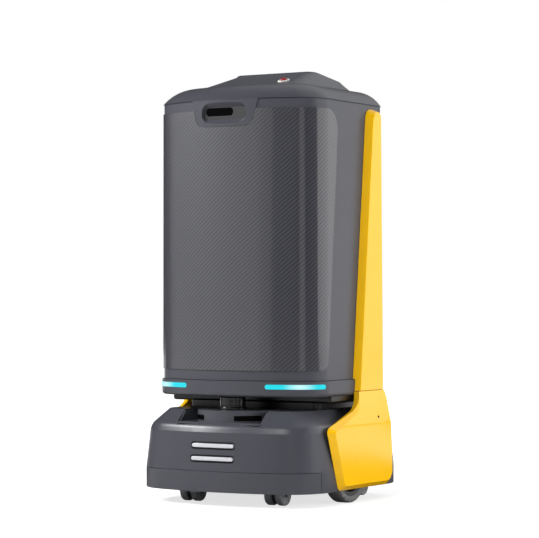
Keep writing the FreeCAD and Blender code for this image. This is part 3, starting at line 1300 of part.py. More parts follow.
def lower_fin():
    body = new_body("left_fin_lower")
    root = S.body_half_width + S.ring_proud + S.fin_gap
    side = S.base_half_width + S.fin_gap
    cut = S.fin_chamfer

    def outline(at, inset):
        """Side view of the wheel cover, drawn from its seam forwards, down and round."""
        sketch = new_sketch(body, "YZ_Plane", at)
        sole = S.fin_bottom + inset * S.fin_sole_share
        tighter = inset * S.fin_corner_share
        draw_polygon(sketch, (
            (S.fin_seam_rear - inset, S.fin_seam),
            (inset - S.fin_seam_front, S.fin_seam),
            (inset - S.fin_flare_front, S.fin_flare - inset / 2, S.fin_flare_round - inset),
            (inset - S.fin_nose, S.fin_nose_height - tighter, S.fin_nose_round - tighter),
            (inset / 2 - S.fin_toe, sole, S.fin_toe_round - tighter),
            (S.fin_heel - inset, sole, S.fin_heel_round - tighter),
            (S.fin_heel - inset, S.fin_heel_height),
            (S.fin_waist_rear - inset, S.fin_waist)))
        return sketch

    pad(body, outline(root, ZERO), S.fin_rim - root)
    loft(body, "AdditiveLoft", [outline(S.fin_rim, ZERO), outline(S.fin_lower_face, cut)])
    beyond = S.fin_lower_face * BEYOND
    above = S.fin_seam + S.fin_chamfer
    lean = new_sketch(body, "XZ_Plane")
    draw_polygon(lean, ((S.fin_lower_face, S.fin_waist), (beyond, S.fin_waist), (beyond, above),
                        (S.fin_upper_face, above), (S.fin_upper_face, S.fin_seam)))
    pocket(body, lean)
    behind = new_sketch(body, "XZ_Plane")
    draw_polygon(behind, ((0, 0), (side, 0), (side, S.fin_waist), (root, S.fin_seam), (root, above),
                          (0, above)))
    pocket(body, behind)
    hollow = new_sketch(body, "YZ_Plane", side)
    margin = S.fin_hollow_margin + cut
    draw_polygon(hollow, ((margin - S.fin_toe, S.fin_bottom + margin, S.fin_hollow_round),
                          (S.fin_waist_rear - margin, S.fin_bottom + margin, S.fin_hollow_round),
                          (S.fin_waist_rear - margin, S.fin_waist - S.fin_hollow_margin, S.fin_hollow_round),
                          (margin - S.fin_nose, S.fin_waist - S.fin_hollow_margin, S.fin_hollow_round)))
    pocket(body, hollow, S.fin_lower_face - side - S.fin_skin, symmetric=False, reverse=True)
    node("left_fin_lower", body)
    node("right_fin_lower", mirrored("RightFinLower", body))


# Chassis plate, battery, control box and charging contacts

CASTORS = (
    ("front_left", S.castor_front_x, -S.castor_front_y),
    ("front_right", -S.castor_front_x, -S.castor_front_y),
    ("rear_left", S.castor_rear_x, S.castor_rear_y),
    ("rear_right", -S.castor_rear_x, S.castor_rear_y),
)


def screw_places(x, y):
    half = S.castor_bolt_half
    return [(x + half * i, y + half * j) for i in (-1, 1) for j in (-1, 1)]


def bracket_inner():
    """Inner face of the left drive bracket."""
    return S.wheel_x - S.wheel_width / 2 - S.bracket_space - S.bracket_thickness


def chassis_plate():
    body = new_body("chassis_plate")
    sketch = new_sketch(body, "XY_Plane", S.chassis_bottom)
    draw_plan(sketch, shrunk(BASE, S.cover_wall + S.chassis_fit))
    for _, x, y in CASTORS:
        for place_x, place_y in screw_places(x, y):
            draw_circle(sketch, place_x, place_y, S.screw_radius)
    pad(body, sketch, S.chassis_thickness)
    notch = new_sketch(body, "XY_Plane", S.chassis_bottom)
    radius = S.wheel_radius + S.arch_gap
    inner = bracket_inner() - S.fin_gap
    for low, high in ((inner, S.base_half_width), (-S.base_half_width, -inner)):
        draw_rectangle(notch, low, high, -S.wheel_forward - radius, radius - S.wheel_forward)
    pocket(body, notch, S.chassis_thickness * THROUGH)
    node("chassis_plate", body)


def inner_boxes():
    deck = S.chassis_bottom + S.chassis_thickness
    battery = new_body("battery_pack")
    sketch = new_sketch(battery, "XY_Plane", deck)
    draw_rectangle(sketch, -S.battery_half_width, S.battery_half_width, -S.battery_front, S.battery_rear,
                   S.battery_round)
    block = pad(battery, sketch, S.battery_height)
    soften(battery, "Fillet", block, level(deck + S.battery_height), S.battery_round)
    node("battery_pack", battery)
    control = new_body("control_box")
    sketch = new_sketch(control, "XY_Plane", deck)
    draw_rectangle(sketch, -S.control_half_width, S.control_half_width, -S.control_front, -S.control_rear)
    pad(control, sketch, S.control_height)
    gaps = new_sketch(control, "XZ_Plane")
    top = deck + S.control_height
    count = int(S.control_half_width.value // S.control_fin_pitch.value)
    for i in range(-count + 1, count):
        middle = S.control_fin_pitch * i
        draw_rectangle(gaps, middle - S.control_fin_depth / 2, middle + S.control_fin_depth / 2,
                       top - S.control_fin_depth, top + S.control_fin_depth)
    pocket(control, gaps)
    node("control_box", control)
    back = S.base_rear - S.contact_sunk
    half_tall = S.contact_height / 2
    contact = box("ChargingContact",
                  (S.contact_x - S.contact_half_width, back - S.contact_thickness, S.contact_z - half_tall),
                  (S.contact_x + S.contact_half_width, back, S.contact_z + half_tall))
    pair("charging_contacts", contact)


# Drive wheels on fixed axles

def drive_units():
    inner = bracket_inner()
    outer = inner + S.bracket_thickness
    bracket = new_body("drive_bracket")
    side = new_sketch(bracket, "YZ_Plane", inner)
    axle_y = -S.wheel_forward
    draw_polygon(side, ((axle_y - S.bracket_half, S.bracket_low), (axle_y + S.bracket_half, S.bracket_low),
                        (axle_y + S.bracket_half, S.bracket_high, S.axle_shoulder),
                        (axle_y - S.bracket_half, S.bracket_high, S.axle_shoulder)))
    draw_circle(side, axle_y, S.wheel_radius, S.axle_radius)
    pad(bracket, side, S.bracket_thickness)
    foot = new_sketch(bracket, "XZ_Plane", S.wheel_forward)
    deck = S.chassis_bottom + S.chassis_thickness
    toe = inner - S.bracket_foot
    rise = S.bracket_high - S.axle_shoulder
    draw_polygon(foot, ((toe, deck), (inner, deck), (inner, deck + S.bracket_thickness),
                        (toe, deck + S.bracket_thickness)))
    pad(bracket, foot, S.bracket_half * 2, symmetric=True)
    for edge_y in (axle_y - S.bracket_half, axle_y + S.bracket_half - S.bracket_thickness):
        rib = new_sketch(bracket, "XZ_Plane", -edge_y - S.bracket_thickness)
        draw_polygon(rib, ((toe, deck), (inner, deck), (inner, rise), (toe, deck + S.bracket_thickness)))
        pad(bracket, rib, S.bracket_thickness)
    pair("drive_brackets", bracket)

    axle = new_body("drive_axle")
    profile = new_sketch(axle, "XZ_Plane")
    hub_inner = S.wheel_x - S.hub_width / 2 - S.axle_side_gap
    hub_outer = S.wheel_x + S.hub_width / 2 + S.axle_side_gap
    end = hub_outer + S.axle_head
    draw_polygon(profile, ((inner, 0), (end, 0), (end, S.axle_shoulder), (hub_outer, S.axle_shoulder),
                           (hub_outer, S.axle_radius), (hub_inner, S.axle_radius),
                           (hub_inner, S.axle_shoulder), (outer, S.axle_shoulder), (outer, S.axle_radius),
                           (inner, S.axle_radius)))
    revolve(axle, profile)
    place(axle, y=-S.wheel_forward, z=S.wheel_radius)
    pair("drive_axles", axle)

    for label, x in (("left", S.wheel_x), ("right", -S.wheel_x)):
        half = S.wheel_width / 2
        tyre = new_body(label + "_drive_tyre")
        profile = new_sketch(tyre, "XZ_Plane")
        draw_polygon(profile, ((-half, S.tyre_inner), (half, S.tyre_inner),
                               (half, S.wheel_radius, S.tyre_round), (-half, S.wheel_radius, S.tyre_round)))
        revolve(tyre, profile)
        place(tyre, x=x, y=-S.wheel_forward, z=S.wheel_radius)
        node(label + "_drive_tyre", tyre)
        hub = new_body(label + "_drive_hub")
        profile = new_sketch(hub, "XZ_Plane")
        face = S.hub_width / 2
        bore = S.axle_radius + S.running_fit
        dish = face - S.hub_dish
        rim = S.tyre_inner - S.hub_rim
        boss = S.hub_boss + S.hub_dish
        draw_polygon(profile, ((-face, bore), (face, bore), (face, S.hub_boss), (dish, boss),
                               (dish, rim - S.hub_dish), (face, rim), (face, S.tyre_inner),
                               (-face, S.tyre_inner), (-face, rim), (-dish, rim - S.hub_dish),
                               (-dish, boss), (-face, S.hub_boss)))
        revolve(hub, profile)
        place(hub, x=x, y=-S.wheel_forward, z=S.wheel_radius)
        node(label + "_drive_hub", hub)


# Twin-wheel castors

def castor_mounts():
    mounts = []
    screws = []
    cup_low = S.castor_crown + S.castor_gap
    plate_low = cup_low + S.castor_cup_height
    for name, x, y in CASTORS:
        mount = new_body(name + "_castor_mount")
        plate = new_sketch(mount, "XY_Plane", plate_low)
        half = S.castor_plate_half
        draw_rectangle(plate, x - half, x + half, y - half, y + half, S.screw_head)
        for place_x, place_y in screw_places(x, y):
            draw_circle(plate, place_x, place_y, S.screw_radius)
        pad(mount, plate, S.castor_plate_thickness)
        cup = new_sketch(mount, "XY_Plane", cup_low)
        draw_circle(cup, x, y, S.castor_cup)
        pad(mount, cup, S.castor_cup_height)
        bore = new_sketch(mount, "XY_Plane", cup_low)
        draw_circle(bore, x, y, S.castor_stem + S.running_fit)
        pocket(mount, bore)
        mounts.append(mount)
        for i, (place_x, place_y) in enumerate(screw_places(x, y)):
            screws.append(castor_screw("%sScrew%d" % (name, i), place_x, place_y, plate_low))
    node("castor_mounts", combine("Compound", "CastorMounts", *mounts))
    node("castor_screws", combine("Compound", "CastorScrews", *screws))


def castor_screw(name, x, y, seat):
    shank = doc.addObject("Part::Cylinder", name + "Shank")
    bind(shank, "Radius", S.screw_radius)
    bind(shank, "Height", S.castor_plate_thickness + S.chassis_thickness)
    place(shank, x, y, seat)
    head = doc.addObject("Part::Cylinder", name + "Head")
    bind(head, "Radius", S.screw_head)
    bind(head, "Height", S.screw_head_height)
    place(head, x, y, seat - S.screw_head_height)
    return combine("MultiFuse", name, shank, head)


def castors():
    """Each castor is drawn about its stem on the floor, trailing to the rear."""
    trail, axle_z = S.castor_trail, S.castor_radius
    web = S.castor_web_half
    wheel_in = web + S.castor_side_gap
    wheel_out = wheel_in + S.castor_wheel_width
    crown_low = S.castor_crown - S.castor_crown_thickness
    for name, x, y in CASTORS:
        fork = new_body(name + "_castor_fork")
        side = new_sketch(fork, "YZ_Plane")
        draw_circle(side, trail, axle_z, S.castor_hood)
        pad(fork, side, web * 2, symmetric=True)
        arm = new_sketch(fork, "YZ_Plane")
        brow = -S.castor_crown_radius / 2
        back = S.castor_crown_radius
        draw_polygon(arm, ((trail, axle_z), (trail + S.castor_hood, axle_z), (back, S.castor_crown),
                           (brow, S.castor_crown), (brow, crown_low)))
        pad(fork, arm, web * 2, symmetric=True)
        crown = new_sketch(fork, "XY_Plane", crown_low)
        draw_circle(crown, 0, 0, S.castor_crown_radius)
        pad(fork, crown, S.castor_crown_thickness)
        stem = new_sketch(fork, "XY_Plane", S.castor_crown)
        draw_circle(stem, 0, 0, S.castor_stem)
        pad(fork, stem, S.chassis_bottom - S.castor_gap - S.castor_crown)
        bore = new_sketch(fork, "YZ_Plane")
        draw_circle(bore, trail, axle_z, S.castor_axle)
        pocket(fork, bore)
        place(fork, x, y)
        node(name + "_castor_fork", fork)

        wheel = new_body(name + "_castor_wheel")
        profile = new_sketch(wheel, "XZ_Plane")
        dish = wheel_out - S.castor_recess_depth
        hole = S.castor_axle + S.running_fit
        draw_polygon(profile, ((wheel_in, hole), (dish, hole), (dish, S.castor_recess),
                               (wheel_out, S.castor_recess + S.castor_recess_depth),
                               (wheel_out, S.castor_radius, S.castor_wheel_round),
                               (wheel_in, S.castor_radius, S.castor_wheel_round)))
        revolve(wheel, profile)
        other = mirrored(wheel.Name + "Mirror", wheel)
        wheels = combine("Compound", wheel.Name + "Pair", wheel, other)
        wheel.Label = name + "_castor_single"
        place(wheels, x, y + trail, axle_z)
        node(name + "_castor_wheels", wheels)

        axle = new_body(name + "_castor_axle")
        profile = new_sketch(axle, "XZ_Plane")
        seat = dish + S.castor_side_gap / 2
        end = seat + S.castor_head_depth
        draw_polygon(profile, ((-end, 0), (end, 0), (end, S.castor_head), (seat, S.castor_head),
                               (seat, S.castor_axle), (-seat, S.castor_axle), (-seat, S.castor_head),
                               (-end, S.castor_head)))
        revolve(axle, profile)
        place(axle, x, y + trail, axle_z)
        node(name + "_castor_axle", axle)


# Cargo bin, shelf and rear door

def door_back():
    """Inner face of the closed door."""
    return S.body_rear - S.door_thickness


def frame_front():
    return door_back() - S.door_seat_gap - S.frame_depth


def cargo_bin():
    body = new_body("cargo_bin")
    wall = S.bin_wall
    back = frame_front()
    outside = new_sketch(body, "XZ_Plane", -back)
    draw_rectangle(outside, -S.bin_half_width - wall, S.bin_half_width + wall, S.bin_floor - wall,
                   S.bin_ceiling + wall, S.bin_corner + wall)
    pad(body, outside, back + S.bin_front + wall)
    inside = new_sketch(body, "XZ_Plane", -back)
    draw_rectangle(inside, -S.bin_half_width, S.bin_half_width, S.bin_floor, S.bin_ceiling, S.bin_corner)
    pocket(body, inside, back + S.bin_front, symmetric=False, reverse=True)
    # Ledges for the shelf, along both sides
    ledge_high = S.shelf_top - S.shelf_thickness
    ledges = new_sketch(body, "XZ_Plane", -back)
    for low, high in ((-S.bin_half_width - wall / 2, S.ledge_size - S.bin_half_width),
                      (S.bin_half_width - S.ledge_size, S.bin_half_width + wall / 2)):
        draw_rectangle(ledges, low, high, ledge_high - S.ledge_size, ledge_high)
    pad(body, ledges, back + S.bin_front)
    node("cargo_bin", body)

    shelf = new_body("cargo_shelf")
    sketch = new_sketch(shelf, "XY_Plane", ledge_high)
    reach = S.bin_half_width - S.shelf_fit
    draw_rectangle(sketch, -reach, reach, S.shelf_fit - S.bin_front, back - S.shelf_fit)
    pad(shelf, sketch, S.shelf_thickness)
    node("cargo_shelf", shelf)

    rail = box("BinRail", (S.rail_x, -S.bin_front, S.ring_bottom + S.floor_thickness),
               (S.rail_x + S.rail_width, back, S.bin_floor - wall))
    pair("bin_rails", rail)


def hinge_place():
    """Hinge axis, in the rounded edge of the door."""
    half = S.door_thickness / 2
    return half - S.door_half_width, S.body_rear - half


def door_frame():
    body = new_body("frame_blank")
    front = frame_front()
    margin = S.door_gap + S.frame_margin
    back = S.body_rear - S.shell_wall - S.fin_gap
    outside = new_sketch(body, "XZ_Plane", -back)
    draw_rectangle(outside, -S.door_half_width - margin, S.door_half_width + margin,
                   S.door_low - margin, S.door_high + margin)
    pad(body, outside, back - front)
    rabbet = new_sketch(body, "XZ_Plane", -back)
    draw_doorway(rabbet)
    pocket(body, rabbet, back - door_back() + S.door_seat_gap, symmetric=False, reverse=True)
    through = new_sketch(body, "XZ_Plane", -back)
    draw_rectangle(through, -S.bin_half_width, S.bin_half_width, S.bin_floor, S.bin_ceiling, S.bin_corner)
    pocket(body, through)
    hinge_x, hinge_y = hinge_place()
    bores = new_sketch(body, "XY_Plane", S.door_low)
    draw_circle(bores, hinge_x, hinge_y, S.hinge_pin)
    pocket(body, bores)
    # The frame keeps clear of the shell's rounded rear corners
    inside = new_body("frame_room")
    room = new_sketch(inside, "XY_Plane", S.ring_top)
    draw_plan(room, shrunk(BODY, S.shell_wall + S.fin_gap))
    pad(inside, room, S.shell_height)
    node("door_frame", combine("Common", "DoorFrame", body, inside))
    pins = []
    length = S.hinge_pin_depth + S.door_gap + S.frame_margin
    for name, low in (("LowerPin", S.door_low - margin), ("UpperPin", S.door_high - S.hinge_pin_depth)):
        pin = doc.addObject("Part::Cylinder", name)
        bind(pin, "Radius", S.hinge_pin)
        bind(pin, "Height", length)
        place(pin, hinge_x, hinge_y, low)
        pins.append(pin)
    node("door_pins", combine("Compound", "DoorPins", *pins))


def rear_door():
    door = new_body("rear_door")
    half = S.door_thickness / 2
    hinge_x, hinge_y = hinge_place()
    sketch = new_sketch(door, "XY_Plane", S.door_low)
    back = door_back()
    bead = half - S.running_fit
    draw_polygon(sketch, ((-S.door_half_width, back, bead),
                          (S.door_half_width, back, S.door_edge_round),
                          (S.door_half_width, S.body_rear, S.door_edge_round),
                          (-S.door_half_width, S.body_rear, bead)))
    pad(door, sketch, S.door_high - S.door_low)
    depth = S.hinge_pin_depth + S.door_gap
    for at, reverse in ((S.door_low, True), (S.door_high, False)):
        bore = new_sketch(door, "XY_Plane", at)
        draw_circle(bore, hinge_x, hinge_y, S.hinge_pin + S.running_fit)
        pocket(door, bore, depth, symmetric=False, reverse=reverse)
    node("rear_door", door)

    handle = new_body("door_handle")
    sketch = new_sketch(handle, "YZ_Plane", S.handle_x)
    out = S.body_rear + S.handle_reach
    inner = out - S.handle_bar
    draw_polygon(sketch, ((S.body_rear, S.handle_low), (out, S.handle_low, S.handle_bar),
                          (out, S.handle_high, S.handle_bar), (S.body_rear, S.handle_high),
                          (S.body_rear, S.handle_high - S.handle_bar),
                          (inner, S.handle_high - S.handle_bar, S.handle_round),
                          (inner, S.handle_low + S.handle_bar, S.handle_round),
                          (S.body_rear, S.handle_low + S.handle_bar)))
    pad(handle, sketch, S.handle_width, symmetric=True)
    node("door_handle", handle)


base_covers()
sensor_pod()
lamps()
lidar()
neck()
frame_posts()
body_floor()
body_ring()
body_shell()
front_panel()
camera_bib()
top_cap()
console_housing()
emergency_stop()
upper_fin()
lower_fin()
chassis_plate()
inner_boxes()
drive_units()
castor_mounts()
castors()
cargo_bin()
door_frame()
rear_door()
doc.recompute()

failed = [item.Label for item in doc.Objects if "Invalid" in item.State or "Error" in item.State]
failed += [item.Label for item in nodes if item.Shape.isNull() or not item.Shape.isValid()]
if failed:
    raise RuntimeError("failed: " + ", ".join(failed))

os.makedirs("parts", exist_ok=True)
for item in nodes:
    item.Shape.exportStep("parts/%s.step" % item.Label)
print(len(nodes), "pieces written")
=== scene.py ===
"""Finishes, fine detail and a plain studio stage for the delivery robot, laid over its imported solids."""

import json
import math

import bmesh
import bpy
from bpy.props import FloatProperty, FloatVectorProperty, PointerProperty
from mathutils import Matrix, Vector
from mathutils.bvhtree import BVHTree

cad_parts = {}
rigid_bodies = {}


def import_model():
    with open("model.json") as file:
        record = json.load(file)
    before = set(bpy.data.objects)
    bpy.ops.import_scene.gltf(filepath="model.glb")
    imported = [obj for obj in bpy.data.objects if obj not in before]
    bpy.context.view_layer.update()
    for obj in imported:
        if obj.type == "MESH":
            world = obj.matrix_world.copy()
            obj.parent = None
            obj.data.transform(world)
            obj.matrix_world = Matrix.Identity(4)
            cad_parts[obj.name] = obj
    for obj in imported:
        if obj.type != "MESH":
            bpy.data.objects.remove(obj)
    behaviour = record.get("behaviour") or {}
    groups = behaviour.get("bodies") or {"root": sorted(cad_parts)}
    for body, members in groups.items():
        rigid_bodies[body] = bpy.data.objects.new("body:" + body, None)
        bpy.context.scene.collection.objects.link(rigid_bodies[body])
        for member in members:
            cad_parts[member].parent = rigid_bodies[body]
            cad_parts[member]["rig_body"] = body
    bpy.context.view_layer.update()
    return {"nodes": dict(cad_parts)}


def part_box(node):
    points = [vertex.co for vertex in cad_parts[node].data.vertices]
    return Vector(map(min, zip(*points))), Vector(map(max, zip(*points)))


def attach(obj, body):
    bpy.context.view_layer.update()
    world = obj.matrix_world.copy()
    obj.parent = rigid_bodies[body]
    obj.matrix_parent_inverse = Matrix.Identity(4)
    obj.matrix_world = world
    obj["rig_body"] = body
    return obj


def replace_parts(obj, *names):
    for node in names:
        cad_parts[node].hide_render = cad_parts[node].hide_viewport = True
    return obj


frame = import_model()

bl_info = {
    "name": "Delivery robot finishes",
    "version": (1, 0, 0),
    "blender": (4, 5, 0),
    "location": "3D View > Sidebar > Delivery robot",
    "description": "Dresses the delivery robot's solids with its mouldings, woven panel, lights and wheels",
    "category": "Object",
}

MM = 0.001
SIDES = {"left": 1, "right": -1}

# Welding and softening of the copied solids.
WELD = 0.002 * MM
FLAT = math.radians(0.4)
SHARP = math.radians(24)
SMOOTH_BELOW = math.radians(32)

# Ways in the shared frame, where the robot faces along -Y.
ACROSS, UP = (1, 0, 0), (0, 0, 1)
FORWARDS, DOWN = (0, -1, 0), (0, 0, -1)

# How far out a line begins that looks for the robot's surface, how high a cover screw's head stands, and the
# turn that stands a flat sheet upright, facing the rear.
OUTSIDE = 0.4
SCREW_HEIGHT = 1.2 * MM
UPRIGHT = Matrix.Rotation(-math.pi / 2, 4, "X")

# Sockets of the colour mixing node, which have no names of their own.
FACTOR, FIRST, SECOND, MIXED = 0, 6, 7, 2

# Finishes, each named for the real material and how its surface was made.
SHELL = "abs_moulded_satin_grey"
YELLOW = "abs_painted_yellow"
BLACK = "abs_moulded_black"
NECK = "polycarbonate_satin_black"
LIDAR = "polycarbonate_gloss_black"
WINDOW = "acrylic_tinted_black"
SCREEN = "glass_printed_display"
LENS = "acrylic_frosted_silver"
LIT = "acrylic_frosted_lit"
CLOTH = "carbon_twill_clear_coated"
WHITE = "abs_moulded_white"
RED = "nylon_moulded_red"
NYLON = "nylon_moulded_grey"
RUBBER = "rubber_moulded_grey"
TREAD = "polyurethane_cast_grey"
ALUMINIUM = "aluminium_anodised_satin"
ZINC = "steel_zinc_plated"
OXIDE = "steel_black_oxide"
COATED = "steel_powder_coated"
BRASS = "brass_turned"


def linear(code):
    """Turn an sRGB hex colour into linear red, green and blue."""
    shares = [int(code[at:at + 2], 16) / 255 for at in (1, 3, 5)]
    return [s / 12.92 if s <= 0.04045 else ((s + 0.055) / 1.055) ** 2.4 for s in shares]


def colour(name, code, description):
    """A colour that the user can change in the sidebar."""
    return FloatVectorProperty(
        name=name, description=description, default=linear(code), subtype="COLOR", min=0.0, max=1.0)


def length(name, millimetres, description):
    """A size that the user can change in the sidebar."""
    return FloatProperty(
        name=name, description=description, default=millimetres * MM, subtype="DISTANCE", unit="LENGTH",
        precision=5)


class RobotColours(bpy.types.PropertyGroup):
    """The colours of the finishes."""

    shell: colour("Shell", "#494a51", "Satin grey of the body and base mouldings")
    yellow: colour("Fins", "#ffc406", "Yellow of the side fins")
    # The same black carbon runs both ways: the lengthways tows are painted paler, a painted sheen for the
    # light their fibres catch.
    lit_warp: colour("Warp", "#414149", "Lengthways tows of the front panel")
    shaded_weft: colour("Weft", "#26272c", "Crossways tows of the front panel")
    cyan: colour("Light strips", "#05e0ee", "Glow of the light strips")
    silver: colour("Light bars", "#d5d6da", "Silver of the light bars")
    black: colour("Neck", "#0b0b0d", "Black of the neck between base and body")
    rubber: colour("Rubber", "#6a6b6d", "Drive tyres and cargo mats")
    red: colour("Stop button", "#8c0f20", "Red of the stop button")
    white: colour("Stop collar", "#e8e8e4", "White of the stop button's collar")


class RobotSizes(bpy.types.PropertyGroup):
    """The sizes of the fine detail."""

    warp_tow: length("Warp tow", 3.04, "Width of a lengthways tow of the front panel's twill")
    weft_tow: length("Weft tow", 2.56, "Width of a crossways tow of the front panel's twill")
    grain: length("Grain", 1.1, "Grain of the moulded shells")
    shell_edge: length("Shell edge", 1.2, "Rounding of the mouldings' edges")
    fin_edge: length("Fin edge", 1.6, "Rounding of the fins' edges")
    panel_edge: length("Panel edge", 1.0, "Rounding of the front panel's edge")
    metal_edge: length("Fine edge", 0.4, "Broken edges of metal and small pieces")
    screw_head: length("Screw head", 3.2, "Radius of the cover screws' heads")


def sizes():
    """The sizes in the sidebar."""
    return bpy.context.scene.robot_sizes


def colours():
    """The colours in the sidebar."""
    return bpy.context.scene.robot_colours


# Shader nodes

def add(tree, kind, values=(), links=(), **settings):
    """Add one node, with its settings, its constant inputs and the sockets that feed it."""
    node = tree.nodes.new(kind)
    for name, value in settings.items():
        setattr(node, name, value)
    for name, value in dict(values).items():
        node.inputs[name].default_value = value
    for name, socket in dict(links).items():
        tree.links.new(socket, node.inputs[name])
    return node


def emptied(name):
    """A material of that name without nodes, and its node tree."""
    material = bpy.data.materials.get(name) or bpy.data.materials.new(name)
    material.use_nodes = True
    material.node_tree.nodes.clear()
    return material, material.node_tree


def start(name):
    """An emptied material of that name, its node tree and a new shader."""
    material, tree = emptied(name)
    shader = add(tree, "ShaderNodeBsdfPrincipled")
    add(tree, "ShaderNodeOutputMaterial", links={"Surface": shader.outputs["BSDF"]})
    return material, tree, shader


def shade(tone, share):
    """A colour scaled by a share, with its alpha."""
    return [*(channel * share for channel in tone), 1.0]


def moulded(name, tone, roughness, grain, depth, mottle=0.05, specular=0.5, ior=1.53, lacquer=0.0):
    """A moulded or painted surface: slow drift of tone, and a grain that breaks up its highlights."""
    flow_patch = 90 * MM
    swing = 0.05
    material, tree, shader = start(name)
    place = add(tree, "ShaderNodeTexCoord").outputs["Object"]
    flow = add(tree, "ShaderNodeTexNoise", {"Scale": 1 / flow_patch, "Detail": 3.0}, {"Vector": place})
    drift = add(
        tree, "ShaderNodeMix", {FIRST: shade(tone, 1 - mottle), SECOND: shade(tone, 1 + mottle)},
        {FACTOR: flow.outputs["Fac"]}, data_type="RGBA")
    tree.links.new(drift.outputs[MIXED], shader.inputs["Base Color"])
    pits = add(tree, "ShaderNodeTexNoise", {"Scale": 1 / grain, "Detail": 2.0}, {"Vector": place})
    gloss = add(
        tree, "ShaderNodeMapRange", {"To Min": roughness - swing, "To Max": roughness + swing},
        {"Value": pits.outputs["Fac"]})
    tree.links.new(gloss.outputs["Result"], shader.inputs["Roughness"])
    relief = add(
        tree, "ShaderNodeBump", {"Strength": 0.35, "Distance": depth}, {"Height": pits.outputs["Fac"]})
    tree.links.new(relief.outputs["Normal"], shader.inputs["Normal"])
    shader.inputs["IOR"].default_value = ior
    shader.inputs["Specular IOR Level"].default_value = specular
    shader.inputs["Coat Weight"].default_value = lacquer
    shader.inputs["Coat Roughness"].default_value = 0.12
    return material


def brushed(name, tone, roughness, line):
    """A brushed or turned metal: fine lines that stretch the highlight."""
    stretch = 0.02
    swing = 0.08
    darkest, palest = 0.9, 1.06
    material, tree, shader = start(name)
    place = add(tree, "ShaderNodeTexCoord").outputs["Object"]
    across = add(
        tree, "ShaderNodeMapping", {"Scale": (stretch / line, 1 / line, 1 / line)}, {"Vector": place})
    lines = add(
        tree, "ShaderNodeTexNoise", {"Scale": 1.0, "Detail": 2.0}, {"Vector": across.outputs["Vector"]})
    gloss = add(
        tree, "ShaderNodeMapRange", {"To Min": roughness - swing, "To Max": roughness + swing},
        {"Value": lines.outputs["Fac"]})
    tree.links.new(gloss.outputs["Result"], shader.inputs["Roughness"])
    tint = add(
        tree, "ShaderNodeMix", {FIRST: shade(tone, darkest), SECOND: shade(tone, palest)},
        {FACTOR: lines.outputs["Fac"]}, data_type="RGBA")
    tree.links.new(tint.outputs[MIXED], shader.inputs["Base Color"])
    shader.inputs["Metallic"].default_value = 1.0
    return material


def carbon_twill():
    """Clear-coated carbon cloth in 2/2 twill, whose lines rise to the right."""
    over, repeat = 2.0, 4.0
    crimp = 0.12 * MM
    material, tree, shader = start(CLOTH)
    cloth = add(tree, "ShaderNodeUVMap", uv_map="weave").outputs["UV"]
    tows = add(
        tree, "ShaderNodeVectorMath", {1: (sizes().warp_tow, sizes().weft_tow, 1.0)}, {0: cloth},
        operation="DIVIDE")
    cell = add(tree, "ShaderNodeVectorMath", links={0: tows.outputs[0]}, operation="FLOOR")
    inside = add(tree, "ShaderNodeVectorMath", links={0: tows.outputs[0]}, operation="FRACTION")
    # Tows pass over two and under two. One step to the side for each step up puts them on a diagonal.
    order = add(tree, "ShaderNodeSeparateXYZ", links={"Vector": cell.outputs[0]})
    offset = add(
        tree, "ShaderNodeMath", links={0: order.outputs["X"], 1: order.outputs["Y"]}, operation="SUBTRACT")
    step = add(tree, "ShaderNodeMath", {1: repeat}, {0: offset.outputs[0]}, operation="FLOORED_MODULO")
    warp_up = add(tree, "ShaderNodeMath", {1: over}, {0: step.outputs[0]}, operation="LESS_THAN")
    # Each tow is round across its width, whichever way it runs.
    bend = add(tree, "ShaderNodeVectorMath", {"Scale": math.pi}, {0: inside.outputs[0]}, operation="SCALE")
    crown = add(tree, "ShaderNodeVectorMath", links={0: bend.outputs[0]}, operation="SINE")
    rise = add(tree, "ShaderNodeSeparateXYZ", links={"Vector": crown.outputs[0]})
    height = add(
        tree, "ShaderNodeMix", links={0: warp_up.outputs[0], 2: rise.outputs["Y"], 3: rise.outputs["X"]},
        data_type="FLOAT")
    # Painted sheen: the tow on top is paler where it runs lengthways, standing in for the light its fibres
    # catch.
    tone = add(
        tree, "ShaderNodeMix", {FIRST: shade(colours().shaded_weft, 1), SECOND: shade(colours().lit_warp, 1)},
        {FACTOR: warp_up.outputs[0]}, data_type="RGBA")
    tree.links.new(tone.outputs[MIXED], shader.inputs["Base Color"])
    relief = add(
        tree, "ShaderNodeBump", {"Strength": 0.4, "Distance": crimp}, {"Height": height.outputs[0]})
    tree.links.new(relief.outputs["Normal"], shader.inputs["Normal"])
    # The lacquer lies even over both ways of tow, so the painted sheen of the paler lengthways tows shows
    # most where little is mirrored in it.
    shader.inputs["Coat Weight"].default_value = 0.69
    shader.inputs["Roughness"].default_value = 0.5
    shader.inputs["Coat Roughness"].default_value = 0.11
    shader.inputs["Coat IOR"].default_value = 2.0
    return material


def lit_diffuser():
    """Frosted acrylic lit from behind: palest at the corner of the body, where the lamp sits."""
    lamp = Vector((189, 173, 284)) * MM
    reach = 46 * MM
    palest = linear("#d2ffff")
    material, tree, shader = start(LIT)
    place = add(tree, "ShaderNodeTexCoord").outputs["Object"]
    either_side = add(tree, "ShaderNodeVectorMath", links={0: place}, operation="ABSOLUTE")
    away = add(
        tree, "ShaderNodeVectorMath", {1: lamp}, {0: either_side.outputs[0]}, operation="DISTANCE")
    near = add(
        tree, "ShaderNodeMapRange", {"From Min": 0.0, "From Max": reach, "To Min": 1.0, "To Max": 0.0},
        {"Value": away.outputs["Value"]}, interpolation_type="SMOOTHSTEP")
    glow = add(
        tree, "ShaderNodeMix", {FIRST: shade(colours().cyan, 1), SECOND: shade(palest, 1)},
        {FACTOR: near.outputs["Result"]}, data_type="RGBA")
    tree.links.new(glow.outputs[MIXED], shader.inputs["Emission Color"])
    shader.inputs["Base Color"].default_value = shade(colours().cyan, 0.1)
    shader.inputs["Emission Strength"].default_value = 0.9
    shader.inputs["Roughness"].default_value = 0.5
    return material


